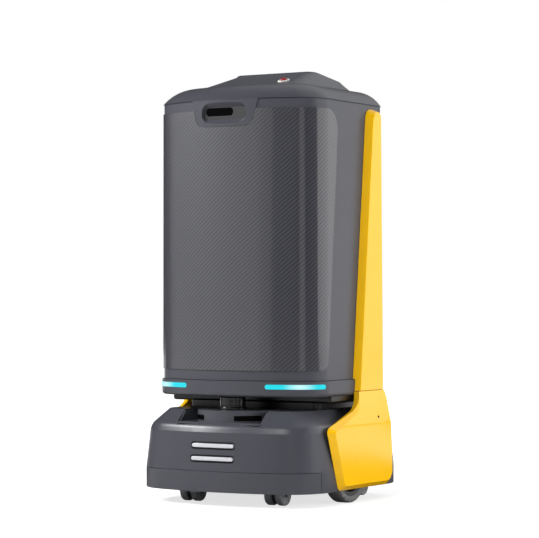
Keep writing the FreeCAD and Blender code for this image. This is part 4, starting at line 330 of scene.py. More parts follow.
def display_glass():
    """Cover glass printed black round the rim: the live area behind it is a shade paler and bluer."""
    rim = Vector((9, 11, 0)) * MM
    live, ink = linear("#10141b"), linear("#050506")
    material, tree, shader = start(SCREEN)
    low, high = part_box("display_glass")
    place = add(tree, "ShaderNodeTexCoord").outputs["Object"]
    centred = add(
        tree, "ShaderNodeVectorMath", {1: (low + high) / 2}, {0: place}, operation="SUBTRACT")
    half = add(tree, "ShaderNodeVectorMath", links={0: centred.outputs[0]}, operation="ABSOLUTE")
    beyond = add(
        tree, "ShaderNodeVectorMath", {1: (high - low) / 2 - rim}, {0: half.outputs[0]},
        operation="SUBTRACT")
    axes = add(tree, "ShaderNodeSeparateXYZ", links={"Vector": beyond.outputs[0]})
    furthest = add(
        tree, "ShaderNodeMath", links={0: axes.outputs["X"], 1: axes.outputs["Y"]}, operation="MAXIMUM")
    printed = add(
        tree, "ShaderNodeMath", {1: 0.0}, {0: furthest.outputs[0]}, operation="GREATER_THAN")
    tone = add(
        tree, "ShaderNodeMix", {FIRST: shade(live, 1), SECOND: shade(ink, 1)},
        {FACTOR: printed.outputs[0]}, data_type="RGBA")
    tree.links.new(tone.outputs[MIXED], shader.inputs["Base Color"])
    shader.inputs["Roughness"].default_value = 0.08
    shader.inputs["IOR"].default_value = 1.52
    return material


# Shaping

def welded_copy(node):
    """A node's solids in a bmesh, with their loose triangles welded."""
    shape = bmesh.new()
    shape.from_mesh(frame["nodes"][node].data)
    bmesh.ops.remove_doubles(shape, verts=shape.verts, dist=WELD)
    return shape


def make_flats_whole(shape):
    """Join the triangles that lie in one flat."""
    bmesh.ops.dissolve_limit(shape, angle_limit=FLAT, verts=shape.verts, edges=shape.edges)


def merged_copy(node):
    """A node's solids in a bmesh, welded, with their flats made whole."""
    shape = welded_copy(node)
    make_flats_whole(shape)
    return shape


def is_sharp(edge):
    """Whether two faces meet sharply at an edge."""
    return edge.is_manifold and edge.calc_face_angle() > SHARP


def bevel(shape, parts, width, segments, affect="EDGES"):
    """Round some edges, or the corners of a flat sheet."""
    bmesh.ops.bevel(
        shape, geom=parts, offset=width, offset_type="OFFSET", segments=segments, profile=0.5,
        affect=affect, clamp_overlap=True, material=-1)


def soften(shape, width, segments=2):
    """Round every edge where two faces meet sharply."""
    bevel(shape, [edge for edge in shape.edges if is_sharp(edge)], width, segments)


def sheet(shape, stand, width, depth, strips=1):
    """Lay a flat sheet, in strips across its depth, and give back its corners."""
    laid = bmesh.ops.create_grid(
        shape, x_segments=1, y_segments=strips, size=0.5,
        matrix=stand @ Matrix.Diagonal((width, depth, 1, 1)))
    return laid["verts"]


def raise_faces(shape, faces, way):
    """Pull faces out along a way, and give back the ones that moved."""
    raised = bmesh.ops.extrude_face_region(shape, geom=faces)["geom"]
    bmesh.ops.translate(
        shape, vec=way, verts=[part for part in raised if isinstance(part, bmesh.types.BMVert)])
    return [part for part in raised if isinstance(part, bmesh.types.BMFace)]


def rearward(face):
    """How far to the rear a face lies."""
    return face.calc_center_median().y


def section(centre, outline, way=1):
    """An outline of places along X and heights, in millimetres, set at a centre."""
    return [centre + Vector((way * across, 0, up)) * MM for across, up in outline]


def column_of(arm, columns):
    """Which of the equal columns round the X axis an arm points into."""
    return int((math.atan2(arm.y, arm.z) / (2 * math.pi) + 1) * columns)


def piece(shape, name, finish, carrier):
    """Turn a bmesh into a piece with one finish that rides with a node's body."""
    mesh = bpy.data.meshes.new(name)
    shape.to_mesh(mesh)
    shape.free()
    for spare in ("custom_normal", "UVMap"):
        if spare in mesh.attributes:
            mesh.attributes.remove(mesh.attributes[spare])
    mesh.shade_smooth()
    mesh.set_sharp_from_angle(angle=SMOOTH_BELOW)
    mesh.materials.clear()
    mesh.materials.append(bpy.data.materials[finish])
    thing = bpy.data.objects.new(name, mesh)
    bpy.context.scene.collection.objects.link(thing)
    thing.modifiers.new("Even shading", "WEIGHTED_NORMAL").keep_sharp = True
    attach(thing, frame["nodes"][carrier]["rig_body"])
    return thing


def dress(node, finish, edge, segments=2):
    """Let a softened copy of a solid stand for it."""
    shape = merged_copy(node)
    if edge:
        soften(shape, edge, segments)
    dressed = piece(shape, node + "_dressed", finish, node)
    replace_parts(dressed, node)
    return dressed


def centre_of(node):
    """The middle of a node's box."""
    low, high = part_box(node)
    return (low + high) / 2


def turned(shape, outline, axis, centre, steps):
    """Turn a closed outline once round an axis, and give back its new faces."""
    corners = [shape.verts.new(spot) for spot in outline]
    rim = [shape.edges.new(pair) for pair in zip(corners, corners[1:] + corners[:1])]
    before = set(shape.faces)
    bmesh.ops.spin(
        shape, geom=corners + rim, cent=centre, axis=axis, dvec=(0, 0, 0), angle=2 * math.pi, steps=steps,
        use_merge=True, use_duplicate=False)
    bmesh.ops.remove_doubles(shape, verts=shape.verts, dist=WELD)
    on_axis = [edge for edge in shape.edges if not edge.link_faces]
    bmesh.ops.delete(shape, geom=on_axis, context="EDGES")
    faces = [face for face in shape.faces if face not in before]
    bmesh.ops.recalc_face_normals(shape, faces=faces)
    return faces


def surface_spot(node, above, towards):
    """Where a straight line first meets a solid, and which way the surface faces there."""
    shape = bmesh.new()
    shape.from_mesh(frame["nodes"][node].data)
    spot, outward, *_ = BVHTree.FromBMesh(shape).ray_cast(Vector(above), Vector(towards))
    shape.free()
    if spot is None:
        raise ValueError(f"that line misses {node}")
    return spot, outward


def screw(shape, spot, outward, radius, height):
    """A button-head screw with a round socket, seated on a point of a surface."""
    crown, rim, draft, socket = 0.74 * radius, 0.28 * radius, 0.02 * radius, 0.6 * height
    stand = Matrix.Translation(spot) @ outward.to_track_quat("Z", "Y").to_matrix().to_4x4()
    head = bmesh.ops.create_cone(
        shape, cap_ends=True, segments=18, radius1=radius, radius2=crown, depth=height,
        matrix=stand @ Matrix.Translation((0, 0, height / 2)))
    faces = {face for vert in head["verts"] for face in vert.link_faces}
    top = max(faces, key=lambda face: face.calc_center_median().dot(outward))
    bmesh.ops.inset_individual(shape, faces=[top], thickness=rim)
    bmesh.ops.inset_individual(shape, faces=[top], thickness=draft, depth=-socket)


# Operators

class ROBOT_OT_finishes(bpy.types.Operator):
    """Mix every finish in the sidebar's colours"""

    bl_idname = "robot.finishes"
    bl_label = "Finishes"

    def execute(self, context):
        grain = sizes().grain
        # Spark-grained ABS: broad soft highlights and no mirror image.
        moulded(SHELL, colours().shell, roughness=0.3, grain=grain, depth=0.03 * MM, specular=0.34)
        # Painted ABS under lacquer: a deep yellow with a slight orange peel, and a clear gloss over it.
        moulded(
            YELLOW, colours().yellow, roughness=0.5, grain=4 * MM, depth=0.01 * MM, mottle=0.02,
            specular=0.05, lacquer=1.0)
        # Fine-grained ABS: a dry black that still shows its form.
        moulded(BLACK, linear("#1d1d20"), roughness=0.5, grain=grain, depth=0.03 * MM)
        # Black polycarbonate, lightly textured: dark, with long dim highlights.
        moulded(NECK, colours().black, roughness=0.3, grain=6 * MM, depth=0.006 * MM, mottle=0.1)
        # Polished black polycarbonate of the lidar: mirrors the soft boxes as upright streaks.
        moulded(LIDAR, linear("#131315"), roughness=0.14, grain=8 * MM, depth=0.002 * MM, ior=1.58)
        # Infrared window of tinted acrylic: deep black behind a clear surface.
        moulded(
            WINDOW, linear("#040405"), roughness=0.12, grain=8 * MM, depth=0.002 * MM, specular=0.06,
            ior=1.49)
        # Silvered frosted acrylic of the light bars: an even pale sheen.
        moulded(
            LENS, colours().silver, roughness=0.3, grain=2 * MM, depth=0.01 * MM, mottle=0.02, ior=1.49)
        # White ABS of the stop button's collar: clean and slightly soft at its highlights.
        moulded(WHITE, colours().white, roughness=0.4, grain=grain, depth=0.02 * MM, mottle=0.02)
        # Red nylon of the stop button: a saturated body with a waxy sheen.
        moulded(RED, colours().red, roughness=0.38, grain=grain, depth=0.02 * MM, mottle=0.03)
        # Grey nylon of the castor discs: paler than their treads, with a waxy sheen.
        moulded(NYLON, linear("#a2a3a6"), roughness=0.45, grain=grain, depth=0.03 * MM)
        # Moulded rubber: dull, with a bloom that lightens it in patches.
        moulded(RUBBER, colours().rubber, roughness=0.7, grain=1.6 * MM, depth=0.06 * MM, mottle=0.14)
        # Cast polyurethane of the castor treads: a paler grey, smoother than rubber.
        moulded(TREAD, linear("#8e8f93"), roughness=0.5, grain=1.6 * MM, depth=0.03 * MM, mottle=0.08)
        # Powder-coated steel of the frame: dark, with a fine orange peel.
        moulded(COATED, linear("#26272a"), roughness=0.5, grain=2.4 * MM, depth=0.05 * MM)
        # Anodised aluminium of the bin and the hubs: brushed, with a soft stretched highlight.
        brushed(ALUMINIUM, linear("#9b9da1"), roughness=0.4, line=0.8 * MM)
        # Zinc-plated steel of axles, castor plates and the lock: bright, faintly blue.
        brushed(ZINC, linear("#a9abb0"), roughness=0.32, line=0.5 * MM)
        # Black-oxide steel of the screws and bolts: nearly black, with a dull metal edge.
        brushed(OXIDE, linear("#2a2a2c"), roughness=0.42, line=0.5 * MM)
        # Turned brass of the charging contacts: warm, with fine lines.
        brushed(BRASS, linear("#c9a45a"), roughness=0.3, line=0.5 * MM)
        carbon_twill()
        lit_diffuser()
        display_glass()
        return {"FINISHED"}


class ROBOT_OT_shells(bpy.types.Operator):
    """Body, base and top mouldings with rounded edges, the camera's bib and the rear cover's screws"""

    bl_idname = "robot.shells"
    bl_label = "Shells"

    def execute(self, context):
        for node in ("base_front_cover", "base_rear_cover", "front_skirt", "body_ring", "body_shell",
                     "top_cap", "console_housing"):
            dress(node, SHELL, sizes().shell_edge)
        self.scoop_bib()
        self.screw_rear_cover()
        return {"FINISHED"}

    def scoop_bib(self):
        """The camera's bib: its pocket is rounded like a scoop, and its floor is made black as painted shade
        for the recess.
        """
        pocket_half, pocket_low, pocket_high = 67 * MM, 913 * MM, 967 * MM
        shade_half, shade_from = 66 * MM, -206.6 * MM
        facing_front = -0.6
        scoop = 2.8 * MM
        shape = merged_copy("camera_bib")
        low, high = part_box("camera_window")
        rim = []
        for edge in filter(is_sharp, shape.edges):
            ends = [vert.co for vert in edge.verts]
            in_pocket = all(
                abs(end.x) < pocket_half and pocket_low < end.z < pocket_high for end in ends)
            at_window = all(
                low[axis] - MM < end[axis] < high[axis] + MM for end in ends for axis in (0, 2))
            if in_pocket and not at_window:
                rim.append(edge)
        bevel(shape, rim, scoop, segments=4)
        soften(shape, sizes().shell_edge)
        bib = piece(shape, "camera_bib_scooped", SHELL, "camera_bib")
        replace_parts(bib, "camera_bib")
        # The pocket's floor takes the black finish as painted shade. It stands for the shade in the recess,
        # not for a black insert.
        bib.data.materials.append(bpy.data.materials[BLACK])
        for face in bib.data.polygons:
            in_painted_shade = face.center.y > shade_from and abs(face.center.x) < shade_half
            if in_painted_shade and face.normal.y < facing_front:
                face.material_index = 1

    def screw_rear_cover(self):
        """Four cover screws, two at each side of the rear cover."""
        aside, heights = 150 * MM, (100 * MM, 160 * MM)
        shape = bmesh.new()
        for across in (-aside, aside):
            for height in heights:
                spot, outward = surface_spot("base_rear_cover", (across, OUTSIDE, height), FORWARDS)
                screw(shape, spot, outward, sizes().screw_head, SCREW_HEIGHT)
        piece(shape, "rear_cover_screws", OXIDE, "base_rear_cover")


class ROBOT_OT_front_panel(bpy.types.Operator):
    """Woven front panel, its cloth laid along the curve of the body"""

    bl_idname = "robot.front_panel"
    bl_label = "Front panel"

    def execute(self, context):
        panel = dress("front_panel", CLOTH, sizes().panel_edge)
        lay_cloth(panel.data)
        return {"FINISHED"}


def lay_cloth(mesh):
    """Give a mesh a weave map: metres along the body's curve, and metres up."""
    # The body's outline: radius of its bowed front, radius and place of its front corners, half its width.
    bow = 458 * MM
    corner = 79 * MM
    corner_y = -105.4 * MM
    half = 227 * MM
    turn = math.asin((half - corner) / (bow - corner))
    bow_y = corner_y + math.cos(turn) * (bow - corner)
    weave = mesh.uv_layers.new(name="weave")
    for loop in mesh.loops:
        spot = mesh.vertices[loop.vertex_index].co
        out = abs(spot.x)
        heading = math.atan2(out, bow_y - spot.y)
        if heading <= turn:
            run = bow * heading
        elif spot.y < corner_y:
            bend = math.atan2(out - (half - corner), corner_y - spot.y)
            run = bow * turn + corner * (bend - turn)
        else:
            run = bow * turn + corner * (math.pi / 2 - turn) + spot.y - corner_y
        weave.data[loop.index].uv = (math.copysign(run, spot.x), spot.z)


class ROBOT_OT_fins(bpy.types.Operator):
    """Yellow side fins, upper and lower, each lower one held by a screw"""

    bl_idname = "robot.fins"
    bl_label = "Fins"

    def execute(self, context):
        screw_back, screw_up = 86 * MM, 204 * MM
        for side, way in SIDES.items():
            self.round_upper(f"{side}_fin_upper", way)
            lower = f"{side}_fin_lower"
            dress(lower, YELLOW, sizes().fin_edge, segments=3)
            beside = (way * OUTSIDE, screw_back, screw_up)
            spot, outward = surface_spot(lower, beside, (-way, 0, 0))
            shape = bmesh.new()
            screw(shape, spot, outward, sizes().screw_head, SCREW_HEIGHT)
            piece(shape, f"{side}_fin_screw", OXIDE, lower)
        return {"FINISHED"}

    def round_upper(self, node, way):
        """The upper fin with rounded edges. Its facets crowd at the peak, and are drawn together first."""
        peak = Vector((way * 246.5, 111.8, 954)) * MM
        crowded = 3.6 * MM
        shape = welded_copy(node)
        crowd = [vert for vert in shape.verts if (vert.co - peak).length < crowded]
        bmesh.ops.pointmerge(shape, verts=crowd, merge_co=peak)
        bmesh.ops.dissolve_degenerate(shape, dist=WELD, edges=shape.edges)
        make_flats_whole(shape)
        soften(shape, sizes().fin_edge, segments=3)
        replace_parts(piece(shape, node + "_dressed", YELLOW, node), node)


class ROBOT_OT_lights(bpy.types.Operator):
    """Cyan light strips, and silver light bars in their tray"""

    bl_idname = "robot.lights"
    bl_label = "Lights"

    def execute(self, context):
        strip_edge, bar_edge = 0.8 * MM, 1.2 * MM
        dress("led_strips", LIT, strip_edge)
        dress("light_bars", LENS, bar_edge, segments=3)
        dress("lamp_tray", BLACK, sizes().metal_edge)
        return {"FINISHED"}


class ROBOT_OT_sensors(bpy.types.Operator):
    """Sensor pod, depth windows, lidar with its scanning window, camera window and display"""

    bl_idname = "robot.sensors"
    bl_label = "Sensors"

    def execute(self, context):
        dress("sensor_pod", SHELL, sizes().metal_edge)
        dress("depth_windows", WINDOW, sizes().metal_edge)
        dress("lidar_base", LIDAR, sizes().metal_edge)
        dress("lidar_head", LIDAR, sizes().metal_edge)
        dress("camera_window", WINDOW, sizes().metal_edge)
        dress("display_glass", SCREEN, sizes().metal_edge)
        self.fit_scanning_window()
        return {"FINISHED"}

    def fit_scanning_window(self):
        """A ring of polished polycarbonate in the groove round the lidar head."""
        outline = [(29.5, 236.7), (30.6, 237.0), (30.6, 250.0), (29.5, 250.3)]
        axis = centre_of("lidar_head")
        axis.z = 0
        shape = bmesh.new()
        turned(shape, section(axis, outline), UP, axis, steps=72)
        piece(shape, "lidar_scanning_window", LIDAR, "lidar_head")


class ROBOT_OT_emergency_stop(bpy.types.Operator):
    """Red stop button in its white collar"""

    bl_idname = "robot.emergency_stop"
    bl_label = "Emergency stop"

    def execute(self, context):
        dress("estop_collar", WHITE, sizes().metal_edge)
        dress("estop_button", RED, sizes().metal_edge)
        return {"FINISHED"}


class ROBOT_OT_neck(bpy.types.Operator):
    """Black neck between base and body"""

    bl_idname = "robot.neck"
    bl_label = "Neck"

    def execute(self, context):
        dress("neck_plate", NECK, sizes().shell_edge)
        dress("neck_collar", NECK, sizes().metal_edge)
        return {"FINISHED"}


class ROBOT_OT_drive_wheels(bpy.types.Operator):
    """Drive wheels: grooved tyres on bolted aluminium hubs, with their axles and brackets"""

    bl_idname = "robot.drive_wheels"
    bl_label = "Drive wheels"

    def execute(self, context):
        for side, way in SIDES.items():
            self.mould_tyre(f"{side}_drive_tyre")
            self.bolt_hub(f"{side}_drive_hub", way)
        dress("drive_axles", ZINC, 0)
        dress("drive_brackets", COATED, sizes().metal_edge)
        return {"FINISHED"}

    def mould_tyre(self, node):
        """A crowned tyre with three grooves round it and cross cuts in its shoulders."""
        centre = centre_of(node)
        half = [(1.0, 73.2), (1.3, 75), (8, 75), (8.3, 73.2), (10.7, 73.2), (11, 75), (15.6, 74.6),
                (18.6, 72.6), (20, 69), (20, 64), (19.2, 60), (17, 58)]
        outline = [(-across, radius) for across, radius in reversed(half)] + half
        columns, columns_per_cut = 96, 4
        shoulder_from, tread_from = 11 * MM, 70 * MM
        cut_slope, cut_depth = 0.4 * MM, 1.6 * MM
        shape = bmesh.new()
        cuts = []
        for face in turned(shape, section(centre, outline), ACROSS, centre, columns):
            arm = face.calc_center_median() - centre
            in_shoulder = abs(arm.x) > shoulder_from and arm.yz.length > tread_from
            if in_shoulder and column_of(arm, columns) % columns_per_cut == 0:
                cuts.append(face)
        bmesh.ops.inset_region(
            shape, faces=cuts, thickness=cut_slope, depth=-cut_depth, use_even_offset=True)
        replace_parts(piece(shape, node + "_grooved", RUBBER, node), node)

    def bolt_hub(self, node, way):
        """A turned hub with five bolts in its outer face."""
        bolts, circle = 5, 36 * MM
        head_radius, head_height = 5 * MM, 2.4 * MM
        dress(node, ALUMINIUM, sizes().metal_edge)
        centre = centre_of(node)
        shape = bmesh.new()
        for place in range(bolts):
            turn = 2 * math.pi * place / bolts
            arm = Vector((way * OUTSIDE, math.sin(turn) * circle, math.cos(turn) * circle))
            spot, outward = surface_spot(node, centre + arm, (-way, 0, 0))
            screw(shape, spot, outward, head_radius, head_height)
        piece(shape, node + "_bolts", OXIDE, node)


class ROBOT_OT_castors(bpy.types.Operator):
    """Twin-wheel castors: polyurethane treads on nylon discs, with their forks, axles and mounts"""

    bl_idname = "robot.castors"
    bl_label = "Castors"

    def execute(self, context):
        for end in ("front", "rear"):
            for side in SIDES:
                castor = f"{end}_{side}_castor"
                dress(castor + "_fork", BLACK, sizes().metal_edge)
                dress(castor + "_axle", ZINC, 0)
                self.make_wheels(castor + "_wheels")
        for node in ("castor_mounts", "castor_screws"):
            dress(node, ZINC, 0)
        return {"FINISHED"}

    def make_wheels(self, node):
        """Two grooved treads round two dished discs, each disc with six pockets."""
        centre = centre_of(node)
        tread = [(5.6, 18.6), (5.6, 21.4), (6.7, 23.9), (9.2, 25), (12.4, 25), (12.8, 24.1), (13.4, 24.1),
                 (13.8, 25), (16.4, 25), (16.8, 24.1), (17.4, 24.1), (17.8, 25), (21, 25), (23.5, 23.9),
                 (24.6, 21.4), (24.6, 18.6)]
        disc = [(5.8, 3.1), (5.8, 18.6), (23.9, 18.6), (24.4, 18.1), (24.4, 16.2), (22.6, 14.4),
                (22.4, 8.4), (23.2, 7.6), (23.2, 6.4), (22.4, 5.9), (22.4, 3.1)]
        columns, columns_per_pocket, open_columns = 48, 8, 5
        dish_from, dish_to, outer_from = 9 * MM, 14 * MM, 20 * MM
        pocket_slope, pocket_depth = 0.5 * MM, 1.2 * MM
        treads = bmesh.new()
        discs = bmesh.new()
        for way in (1, -1):
            turned(treads, section(centre, tread, way), ACROSS, centre, columns)
            pockets = []
            for face in turned(discs, section(centre, disc, way), ACROSS, centre, columns):
                arm = face.calc_center_median() - centre
                in_dish = dish_from < arm.yz.length < dish_to and abs(arm.x) > outer_from
                if in_dish and column_of(arm, columns) % columns_per_pocket < open_columns:
                    pockets.append(face)
            bmesh.ops.inset_region(
                discs, faces=pockets, thickness=pocket_slope, depth=-pocket_depth, use_even_offset=True)
        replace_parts(piece(treads, node + "_treads", TREAD, node), node)
        piece(discs, node + "_discs", NYLON, node)


class ROBOT_OT_cargo(bpy.types.Operator):
    """Cargo bin with its shelf and mats, and the rear door with its frame, pins, handle and lock"""

    bl_idname = "robot.cargo"
    bl_label = "Cargo bay"

    def execute(self, context):
        dress("cargo_bin", ALUMINIUM, sizes().metal_edge)
        dress("cargo_shelf", ALUMINIUM, sizes().metal_edge)
        dress("bin_rails", COATED, sizes().metal_edge)
        dress("door_frame", SHELL, sizes().metal_edge)
        dress("rear_door", SHELL, sizes().shell_edge)
        dress("door_handle", BLACK, sizes().shell_edge)
        dress("door_pins", ZINC, 0)
        self.fit_lock()
        self.lay_mats()
        return {"FINISHED"}

    def lay_mats(self):
        """Ribbed rubber mats on the bin's floor and on its shelf."""
        floor_width, shelf_width = 276 * MM, 292 * MM
        front, back = -132 * MM, 150 * MM
        strips, thickness = 47, 1.6 * MM
        rib_slope, rib_height = 0.5 * MM, 0.9 * MM
        over_floor = (0, 0, 0.5)
        shape = bmesh.new()
        floor, _ = surface_spot("cargo_bin", over_floor, DOWN)
        _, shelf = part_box("cargo_shelf")
        for width, height in ((floor_width, floor.z), (shelf_width, shelf.z)):
            stand = Matrix.Translation((0, (front + back) / 2, height))
            corners = sheet(shape, stand, width, back - front, strips)
            flat = sorted({face for vert in corners for face in vert.link_faces}, key=rearward)
            tops = sorted(raise_faces(shape, flat, (0, 0, thickness)), key=rearward)
            bmesh.ops.inset_individual(shape, faces=tops[1::2], thickness=rib_slope, depth=rib_height)
        bmesh.ops.recalc_face_normals(shape, faces=shape.faces)
        piece(shape, "cargo_mats", RUBBER, "cargo_bin")

    def fit_lock(self):
        """A cam lock above the handle: a flanged barrel with a key slot."""
        lock_height = 700 * MM
        barrel = [(0, 0), (10, 0), (10, 1.2), (9.2, 2), (7.4, 2), (7, 3.4), (0, 3.4)]
        slot_width, slot_length, slot_round = 2 * MM, 8 * MM, 0.95 * MM
        slot_from, slot_rise = 3.2 * MM, 0.3 * MM
        handle = centre_of("door_handle")
        spot, outward = surface_spot("rear_door", (handle.x, OUTSIDE, lock_height), FORWARDS)
        shape = bmesh.new()
        profile = [spot + Vector((radius, rise, 0)) * MM for radius, rise in barrel]
        turned(shape, profile, outward, spot, steps=36)
        piece(shape, "door_lock", ZINC, "rear_door")
        slot = bmesh.new()
        stand = Matrix.Translation(spot + outward * slot_from) @ UPRIGHT
        corners = sheet(slot, stand, slot_width, slot_length)
        bevel(slot, corners, slot_round, segments=4, affect="VERTICES")
        raise_faces(slot, slot.faces[:], (0, slot_rise, 0))
        bmesh.ops.recalc_face_normals(slot, faces=slot.faces)
        piece(slot, "door_lock_slot", OXIDE, "rear_door")


class ROBOT_OT_inner_works(bpy.types.Operator):
    """Chassis plate, posts, floor, battery, control box, and charging contacts with their bezels"""

    bl_idname = "robot.inner_works"
    bl_label = "Inner works"

    def execute(self, context):
        for node in ("chassis_plate", "frame_posts", "body_floor"):
            dress(node, COATED, sizes().metal_edge)
        dress("battery_pack", BLACK, sizes().shell_edge)
        dress("control_box", ALUMINIUM, sizes().shell_edge)
        dress("charging_contacts", BRASS, sizes().metal_edge)
        self.frame_contacts()
        return {"FINISHED"}

    def frame_contacts(self):
        """A moulded bezel round each charging contact's opening."""
        aside, above_opening = 58 * MM, 11 * MM
        width, height, corner = 60 * MM, 24 * MM, 6 * MM
        rim, sunk, thickness, edge = 4 * MM, 0.4 * MM, 1.6 * MM, 0.4 * MM
        contact = centre_of("charging_contacts")
        shape = bmesh.new()
        for across in (-aside, aside):
            behind = (across, OUTSIDE, contact.z + above_opening)
            spot, _ = surface_spot("base_rear_cover", behind, FORWARDS)
            stand = Matrix.Translation((spot.x, spot.y - sunk, contact.z)) @ UPRIGHT
            corners = sheet(shape, stand, width, height)
            bevel(shape, corners, corner, segments=5, affect="VERTICES")
        middles = shape.faces[:]
        bmesh.ops.inset_individual(shape, faces=middles, thickness=rim)
        bmesh.ops.delete(shape, geom=middles, context="FACES")
        raise_faces(shape, shape.faces[:], (0, thickness, 0))
        bmesh.ops.recalc_face_normals(shape, faces=shape.faces)
        soften(shape, edge)
        piece(shape, "contact_bezels", BLACK, "base_rear_cover")


class ROBOT_OT_stage(bpy.types.Operator):
    """Pale floor, soft lights and the camera"""

    bl_idname = "robot.stage"
    bl_label = "Stage"

    def execute(self, context):
        lay_floor()
        light_world()
        for soft_box in SOFT_BOXES:
            hang_light(*soft_box)
        set_camera()
        return {"FINISHED"}


# Soft boxes: name, bearing from the front towards the robot's left, height angle, distance, width and height
# in metres, watts, and whether they show in gloss.
SOFT_BOXES = (
    ("back_right", 128, 18, 4.0, 5.8, 3.2, 66, True),
    ("front_wall", -39, 3, 4.0, 5.4, 1.6, 5, True),
    ("front_wall_wide", -37, 3, 4.2, 6.8, 1.6, 12, True),
    ("front_fill", 24, 12, 4.0, 2.0, 1.4, 17, False),
    ("front_strip", 40, 3, 4.0, 1.3, 1.6, 2.8, True),
    ("high_left", -54, 31, 3.6, 1.5, 0.7, 125, True),
    ("high_front", 8, 38, 4.5, 2.4, 0.6, 60, True),
    ("back_left", -128, 42, 4.0, 2.6, 1.6, 12, False),
    ("right_fill", 98, 4, 4.0, 2.6, 1.6, 84, False),
)

# The soft surround: bearing, height angle, angle at which it fades out, and brightness.
SURROUND = (165, 50, 50, 0.9)


def lay_floor():
    """A broad pale floor: white to the eye, and in the robot's gloss bright only far behind it."""
    radius = 14.0
    white_from, white_to, least_white = 0.7, 2.2, 0.72
    bright_from, bright_to, brightest = 0.9, 1.9, 1.3
    behind_from, behind_to = -0.3, 0.1
    shape = bmesh.new()
    bmesh.ops.create_circle(shape, cap_ends=True, radius=radius, segments=64)
    mesh = bpy.data.meshes.new("floor")
    shape.to_mesh(mesh)
    shape.free()
    material, tree = emptied("floor_pale_matt")
    path = add(tree, "ShaderNodeLightPath")
    place = add(tree, "ShaderNodeTexCoord").outputs["Object"]
    # The eye sees paper that takes a shadow near the robot and goes to white round it.
    away = add(tree, "ShaderNodeVectorMath", links={0: place}, operation="LENGTH")
    lift = add(
        tree, "ShaderNodeMapRange",
        {"From Min": white_from, "From Max": white_to, "To Min": least_white, "To Max": 1.0},
        {"Value": away.outputs["Value"]}, interpolation_type="SMOOTHSTEP")
    paper = add(tree, "ShaderNodeBsdfDiffuse", {"Color": (0.5, 0.5, 0.5, 1)})
    lifted = add(
        tree, "ShaderNodeEmission", {"Color": (1, 1, 1, 1)}, {"Strength": lift.outputs["Result"]})
    seen = add(tree, "ShaderNodeAddShader", links={0: paper.outputs[0], 1: lifted.outputs[0]})
    # As a light it is a plain grey, apart from the part behind the robot that its gloss shows.
    cast = add(tree, "ShaderNodeBsdfDiffuse", {"Color": (0.6, 0.6, 0.6, 1)})
    along = add(tree, "ShaderNodeSeparateXYZ", links={"Vector": place}).outputs["Y"]
    sweep = add(
        tree, "ShaderNodeMapRange", {"From Min": bright_from, "From Max": bright_to, "To Max": brightest},
        {"Value": along}, interpolation_type="SMOOTHSTEP")
    far_floor = add(
        tree, "ShaderNodeEmission", {"Color": (1, 1, 1, 1)}, {"Strength": sweep.outputs["Result"]})
    behind = add(
        tree, "ShaderNodeMapRange", {"From Min": behind_from, "From Max": behind_to}, {"Value": along})
    in_gloss = add(tree, "ShaderNodeMath", links={
        0: path.outputs["Is Glossy Ray"], 1: behind.outputs["Result"]}, operation="MULTIPLY")
    thrown = add(tree, "ShaderNodeMixShader", links={
        0: in_gloss.outputs[0], 1: cast.outputs[0], 2: far_floor.outputs[0]})
    either = add(tree, "ShaderNodeMixShader", links={
        0: path.outputs["Is Camera Ray"], 1: thrown.outputs[0], 2: seen.outputs[0]})
    add(tree, "ShaderNodeOutputMaterial", links={"Surface": either.outputs[0]})
    mesh.materials.append(material)
    floor = bpy.data.objects.new("floor", mesh)
    bpy.context.scene.collection.objects.link(floor)


def pointing(bearing, rise):
    """The direction at a bearing from the front and a height angle, in degrees."""
    bearing, rise = math.radians(bearing), math.radians(rise)
    return Vector((
        math.sin(bearing) * math.cos(rise), -math.cos(bearing) * math.cos(rise), math.sin(rise)))


def light_world():
    """A surround that is white to the eye, and one broad soft glow as a light."""
    bearing, rise, spread, brightness = SURROUND
    world = bpy.data.worlds.new("studio")
    bpy.context.scene.world = world
    world.use_nodes = True
    tree = world.node_tree
    tree.nodes.clear()
    ray = add(tree, "ShaderNodeTexCoord").outputs["Generated"]
    towards = add(
        tree, "ShaderNodeVectorMath", {1: pointing(bearing, rise)}, {0: ray}, operation="DOT_PRODUCT")
    glow = add(
        tree, "ShaderNodeMapRange",
        {"From Min": math.cos(math.radians(spread)), "From Max": 1.0, "To Max": brightness},
        {"Value": towards.outputs["Value"]}, interpolation_type="SMOOTHSTEP")
    path = add(tree, "ShaderNodeLightPath")
    seen = add(tree, "ShaderNodeBackground", {"Color": (1, 1, 1, 1), "Strength": 1.0})
    cast = add(
        tree, "ShaderNodeBackground", {"Color": (1, 1, 1, 1)}, {"Strength": glow.outputs["Result"]})
    either = add(tree, "ShaderNodeMixShader", links={
        0: path.outputs["Is Camera Ray"], 1: cast.outputs[0], 2: seen.outputs[0]})
    add(tree, "ShaderNodeOutputWorld", links={"Surface": either.outputs[0]})


def hang_light(name, bearing, rise, distance, width, height, watts, in_gloss):
    """A soft box that faces the middle of the robot."""
    middle = Vector((0, 0, 0.55))
    lamp = bpy.data.lights.new(name, "AREA")
    lamp.shape = "RECTANGLE"
    lamp.size = width
    lamp.size_y = height
    lamp.energy = watts
    out = pointing(bearing, rise)
    thing = bpy.data.objects.new(name, lamp)
    thing.location = middle + out * distance
    thing.rotation_euler = (-out).to_track_quat("-Z", "Y").to_euler()
    thing.visible_camera = False
    thing.visible_glossy = in_gloss
    bpy.context.scene.collection.objects.link(thing)


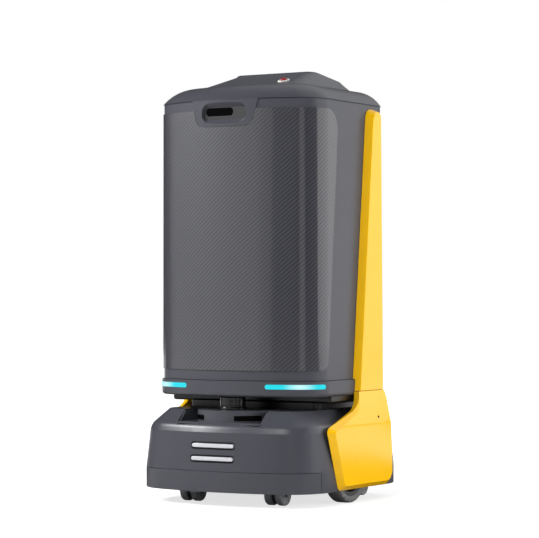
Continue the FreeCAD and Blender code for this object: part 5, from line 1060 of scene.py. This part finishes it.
def set_camera():
    """The camera at the photograph's place, level with the robot's waist."""
    place = Vector((2.819, -4.666, 0.5))
    target = Vector((0, 0, 0.567))
    camera = bpy.data.cameras.new("camera")
    camera.sensor_width = 36.0
    camera.sensor_fit = "HORIZONTAL"
    camera.lens = 146.7
    thing = bpy.data.objects.new("camera", camera)
    thing.location = place
    thing.rotation_euler = (target - place).to_track_quat("-Z", "Y").to_euler()
    bpy.context.scene.collection.objects.link(thing)
    bpy.context.scene.camera = thing
    bpy.context.scene.view_settings.view_transform = "Standard"


class ROBOT_PT_finishes(bpy.types.Panel):
    """Sidebar panel that lists the pieces, the sizes and the colours"""

    bl_label = "Delivery robot"
    bl_space_type = "VIEW_3D"
    bl_region_type = "UI"
    bl_category = "Delivery robot"

    def draw(self, context):
        for operator in OPERATORS:
            self.layout.operator(operator.bl_idname)
        for group in (context.scene.robot_sizes, context.scene.robot_colours):
            for name in group.__annotations__:
                self.layout.prop(group, name)


OPERATORS = (
    ROBOT_OT_finishes, ROBOT_OT_shells, ROBOT_OT_front_panel, ROBOT_OT_fins, ROBOT_OT_lights,
    ROBOT_OT_sensors, ROBOT_OT_emergency_stop, ROBOT_OT_neck, ROBOT_OT_drive_wheels, ROBOT_OT_castors,
    ROBOT_OT_cargo, ROBOT_OT_inner_works, ROBOT_OT_stage)
CLASSES = (RobotColours, RobotSizes, *OPERATORS, ROBOT_PT_finishes)


def register():
    """Make the operators, the panel and the properties known."""
    for entry in CLASSES:
        bpy.utils.register_class(entry)
    bpy.types.Scene.robot_sizes = PointerProperty(type=RobotSizes)
    bpy.types.Scene.robot_colours = PointerProperty(type=RobotColours)


def unregister():
    """Take them away again."""
    del bpy.types.Scene.robot_colours
    del bpy.types.Scene.robot_sizes
    for entry in reversed(CLASSES):
        bpy.utils.unregister_class(entry)


def main():
    """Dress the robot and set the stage."""
    register()
    for operator in OPERATORS:
        family, action = operator.bl_idname.split(".")
        getattr(getattr(bpy.ops, family), action)()


if __name__ == "__main__":
    main()
